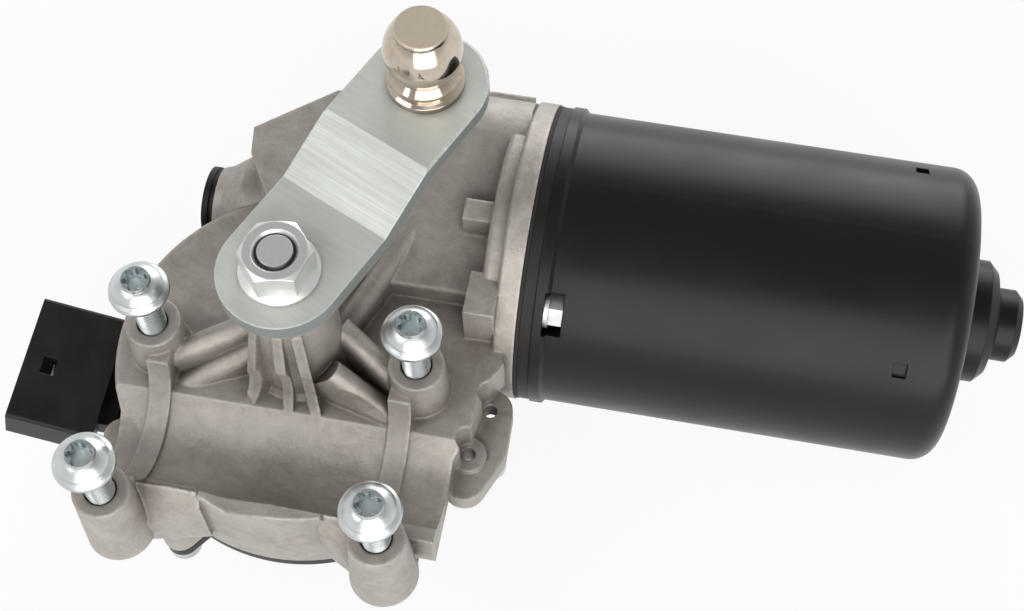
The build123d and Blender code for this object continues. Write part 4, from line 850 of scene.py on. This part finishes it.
def cut_star(head_piece, under, top):
    """Cut the star recess into a head and give its walls their own finish, a lighter, bluish zinc that is
    a painted reflection.
    """
    middle = [(MIDDLE_RADIUS, top - MIDDLE_DEPTH), (MIDDLE_RADIUS, top + CLEARANCE)]
    tools = [lathe("recess", middle, steps=48)]
    for lobe in range(LOBES):
        angle = lobe * 2 * math.pi / LOBES
        clear_selection()
        bpy.ops.mesh.primitive_cylinder_add(
            vertices=20,
            radius=LOBE_RADIUS,
            depth=LOBE_DEPTH + CLEARANCE,
            location=(
                LOBE_REACH * math.cos(angle),
                LOBE_REACH * math.sin(angle),
                top + (CLEARANCE - LOBE_DEPTH) / 2,
            ),
        )
        tools.append(bpy.context.active_object)
    for tool in tools:
        settle(tool)
        cut(head_piece, tool)
    set_finish(head_piece, "bright zinc")
    # The recess walls take a lighter, bluish zinc: painted reflection
    head_piece.data.materials.append(bpy.data.materials["recess zinc painted reflection"])
    margin = 0.05 * MM
    star_reach = LOBE_REACH + LOBE_RADIUS + margin
    for face in head_piece.data.polygons:
        if face.center.xy.length < star_reach and under < face.center.z < top - margin:
            face.material_index = 1


def screw_thread(under):
    """A three-cornered profile screwed up the shank to just under the head, and the core inside it."""
    size = sizes()
    corner = THREAD_CORNER * size.screw_pitch
    clear_selection()
    bpy.ops.mesh.primitive_circle_add(
        vertices=3,
        radius=corner,
        location=(size.screw_radius - corner, 0.0, THREAD_LOW + corner),
        rotation=(math.pi / 2, math.pi / 2, 0.0),
    )
    thread = bpy.context.active_object
    bpy.ops.object.transform_apply(location=True, rotation=True, scale=True)
    helix = thread.modifiers.new("helix", "SCREW")
    helix.angle = 2 * math.pi
    helix.screw_offset = size.screw_pitch
    helix.iterations = int((under - THREAD_LOW) / size.screw_pitch) - 1
    helix.steps = THREAD_STEPS
    helix.render_steps = THREAD_STEPS
    bpy.ops.object.modifier_apply(modifier=helix.name)
    # Close the thread's two ends
    bpy.ops.object.mode_set(mode="EDIT")
    bpy.ops.mesh.select_all(action="DESELECT")
    bpy.ops.mesh.select_non_manifold()
    bpy.ops.mesh.fill()
    bpy.ops.object.mode_set(mode="OBJECT")
    root = size.screw_radius - THREAD_DEPTH * size.screw_pitch
    core = lathe("core", [(root, THREAD_LOW), (root, under - NECK_LENGTH / 2)], steps=THREAD_STEPS)
    settle(core)
    # The thread and core take a darker copy of the zinc: painted shade
    for piece in (thread, core):
        set_finish(piece, "shaded thread zinc")
    return [thread, core]


class MOTOR_OT_screws(bpy.types.Operator):
    """Model the four mounting screws with their threads, domed heads and star recesses"""

    bl_idname = "motor.screws"
    bl_label = "Mounting screws"

    def execute(self, context):
        under = screw_top - HEAD_HEIGHT
        head_piece = screw_head(under, screw_top)
        cut_star(head_piece, under, screw_top)
        one = join([head_piece, *screw_thread(under)], "mounting_screws_detail")
        settle(one, SCREW_SMOOTHING)
        copies = []
        for x, y in BOSS_SPOTS:
            copy = one.copy()
            copy.data = one.data.copy()
            context.collection.objects.link(copy)
            copy.rotation_euler = (0, 0, FIRST_TURN + TURN_BY_X * x + TURN_BY_Y * y)
            copy.location = (x * MM, y * MM, 0)
            copies.append(copy)
        bpy.data.objects.remove(one, do_unlink=True)
        screws = join(copies, "mounting_screws_detail")
        settle(screws, SCREW_SMOOTHING)
        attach(screws, "housing")
        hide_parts("mounting_screws")
        return {"FINISHED"}


FLOOR_SIZE = 8.0
FLOOR_GAP = 0.5 * MM
FLOOR_GLOW = 0.90  # how far the floor shows as plain white
# The lamps: name, place and aim in metres, size in metres, power in watts
LAMPS = (
    ("key", (0.38, -0.95, 0.40), (0.03, 0.02, 0.0), 1.3, 16.0),
    ("fill", (-0.55, -0.35, 0.85), (0.03, 0.03, 0.0), 0.6, 3.5),
    ("back", (0.1, 0.95, 0.30), (0.03, 0.04, 0.0), 0.7, 4.5),
)
# The world dims between these two heights of its sphere, for soft light and for reflections
SKY_LOW, SKY_HIGH = 0.15, 0.85
SOFT_LOW, SOFT_HIGH = 0.40, 0.20
MIRROR_LOW, MIRROR_HIGH = 1.0, 0.34


def make_floor_finish():
    """A plain pale floor that takes the shadow, and is nearly white to the camera and in reflections."""
    tree, shader = new_finish("floor")
    shader.inputs["Base Color"].default_value = (0.88, 0.88, 0.88, 1.0)
    shader.inputs["Roughness"].default_value = 0.9
    shader.inputs["Specular IOR Level"].default_value = 0.1
    glow = tree.nodes.new("ShaderNodeEmission")
    glow.inputs["Color"].default_value = (1.0, 1.0, 1.0, 1.0)
    path = tree.nodes.new("ShaderNodeLightPath").outputs
    seen = maths(tree, "MAXIMUM", path["Is Camera Ray"], path["Is Glossy Ray"])
    seen = maths(tree, "MAXIMUM", seen, path["Is Transmission Ray"])
    blend = tree.nodes.new("ShaderNodeMixShader")
    wire(tree, times(tree, seen, FLOOR_GLOW), blend.inputs["Fac"])
    wire(tree, shader.outputs["BSDF"], blend.inputs[1])
    wire(tree, glow.outputs["Emission"], blend.inputs[2])
    wire(tree, blend.outputs["Shader"], tree.nodes["Material Output"].inputs["Surface"])


def light_world(world):
    """A white world, dimmer higher up, brighter in reflections and plain white to the camera."""
    world.use_nodes = True
    tree = world.node_tree
    background = tree.nodes["Background"]
    background.inputs["Color"].default_value = (1.0, 1.0, 1.0, 1.0)
    path = tree.nodes.new("ShaderNodeLightPath").outputs
    shown = maths(tree, "MAXIMUM", path["Is Camera Ray"], path["Is Transmission Ray"])
    height = tree.nodes.new("ShaderNodeSeparateXYZ")
    wire(tree, tree.nodes.new("ShaderNodeTexCoord").outputs["Generated"], height.inputs["Vector"])
    soft = remap(tree, height.outputs["Z"], SKY_LOW, SKY_HIGH, SOFT_LOW, SOFT_HIGH)
    mirrored = remap(tree, height.outputs["Z"], SKY_LOW, SKY_HIGH, MIRROR_LOW, MIRROR_HIGH)
    extra = times(tree, path["Is Glossy Ray"], maths(tree, "SUBTRACT", mirrored, soft))
    level = maths(tree, "MAXIMUM", maths(tree, "ADD", soft, extra), shown)
    wire(tree, level, background.inputs["Strength"])


class MOTOR_OT_stage(bpy.types.Operator):
    """Set the pale floor, the backdrop colour and the soft studio light"""

    bl_idname = "motor.stage"
    bl_label = "Stage"

    def execute(self, context):
        clear_selection()
        bpy.ops.mesh.primitive_plane_add(size=FLOOR_SIZE, location=(0, 0, cad_low.z - FLOOR_GAP))
        floor = context.active_object
        floor.name = "floor"
        make_floor_finish()
        set_finish(floor, "floor")
        for name, place, aim, size, power in LAMPS:
            light = bpy.data.lights.new(name, "AREA")
            light.size = size
            light.energy = power
            lamp = bpy.data.objects.new(name, light)
            context.collection.objects.link(lamp)
            lamp.location = place
            lamp.rotation_mode = "QUATERNION"
            lamp.rotation_quaternion = (Vector(aim) - Vector(place)).to_track_quat("-Z", "Y")
        world = context.scene.world or bpy.data.worlds.new("world")
        context.scene.world = world
        light_world(world)
        context.scene.view_settings.view_transform = "Standard"
        return {"FINISHED"}


class MOTOR_PT_panel(bpy.types.Panel):
    """The steps of the wiper motor, in order"""

    bl_label = "Wiper Motor"
    bl_idname = "MOTOR_PT_panel"
    bl_space_type = "VIEW_3D"
    bl_region_type = "UI"
    bl_category = "Wiper Motor"

    def draw(self, context):
        layout = self.layout
        for group in (sizes(), colours()):
            for name in group.__annotations__:
                layout.prop(group, name)
        for step in STEPS:
            layout.operator(step.bl_idname)


STEPS = (MOTOR_OT_camera, MOTOR_OT_finishes, MOTOR_OT_screws, MOTOR_OT_stage)
CLASSES = (MotorColours, MotorSizes, *STEPS, MOTOR_PT_panel)


def register():
    for entry in CLASSES:
        bpy.utils.register_class(entry)
    bpy.types.Scene.motor_sizes = bpy.props.PointerProperty(type=MotorSizes)
    bpy.types.Scene.motor_colours = bpy.props.PointerProperty(type=MotorColours)


def unregister():
    del bpy.types.Scene.motor_colours
    del bpy.types.Scene.motor_sizes
    for entry in reversed(CLASSES):
        bpy.utils.unregister_class(entry)


def main():
    register()
    bpy.ops.motor.camera()
    bpy.ops.motor.finishes()
    bpy.ops.motor.screws()
    bpy.ops.motor.stage()


if __name__ == "__main__":
    main()
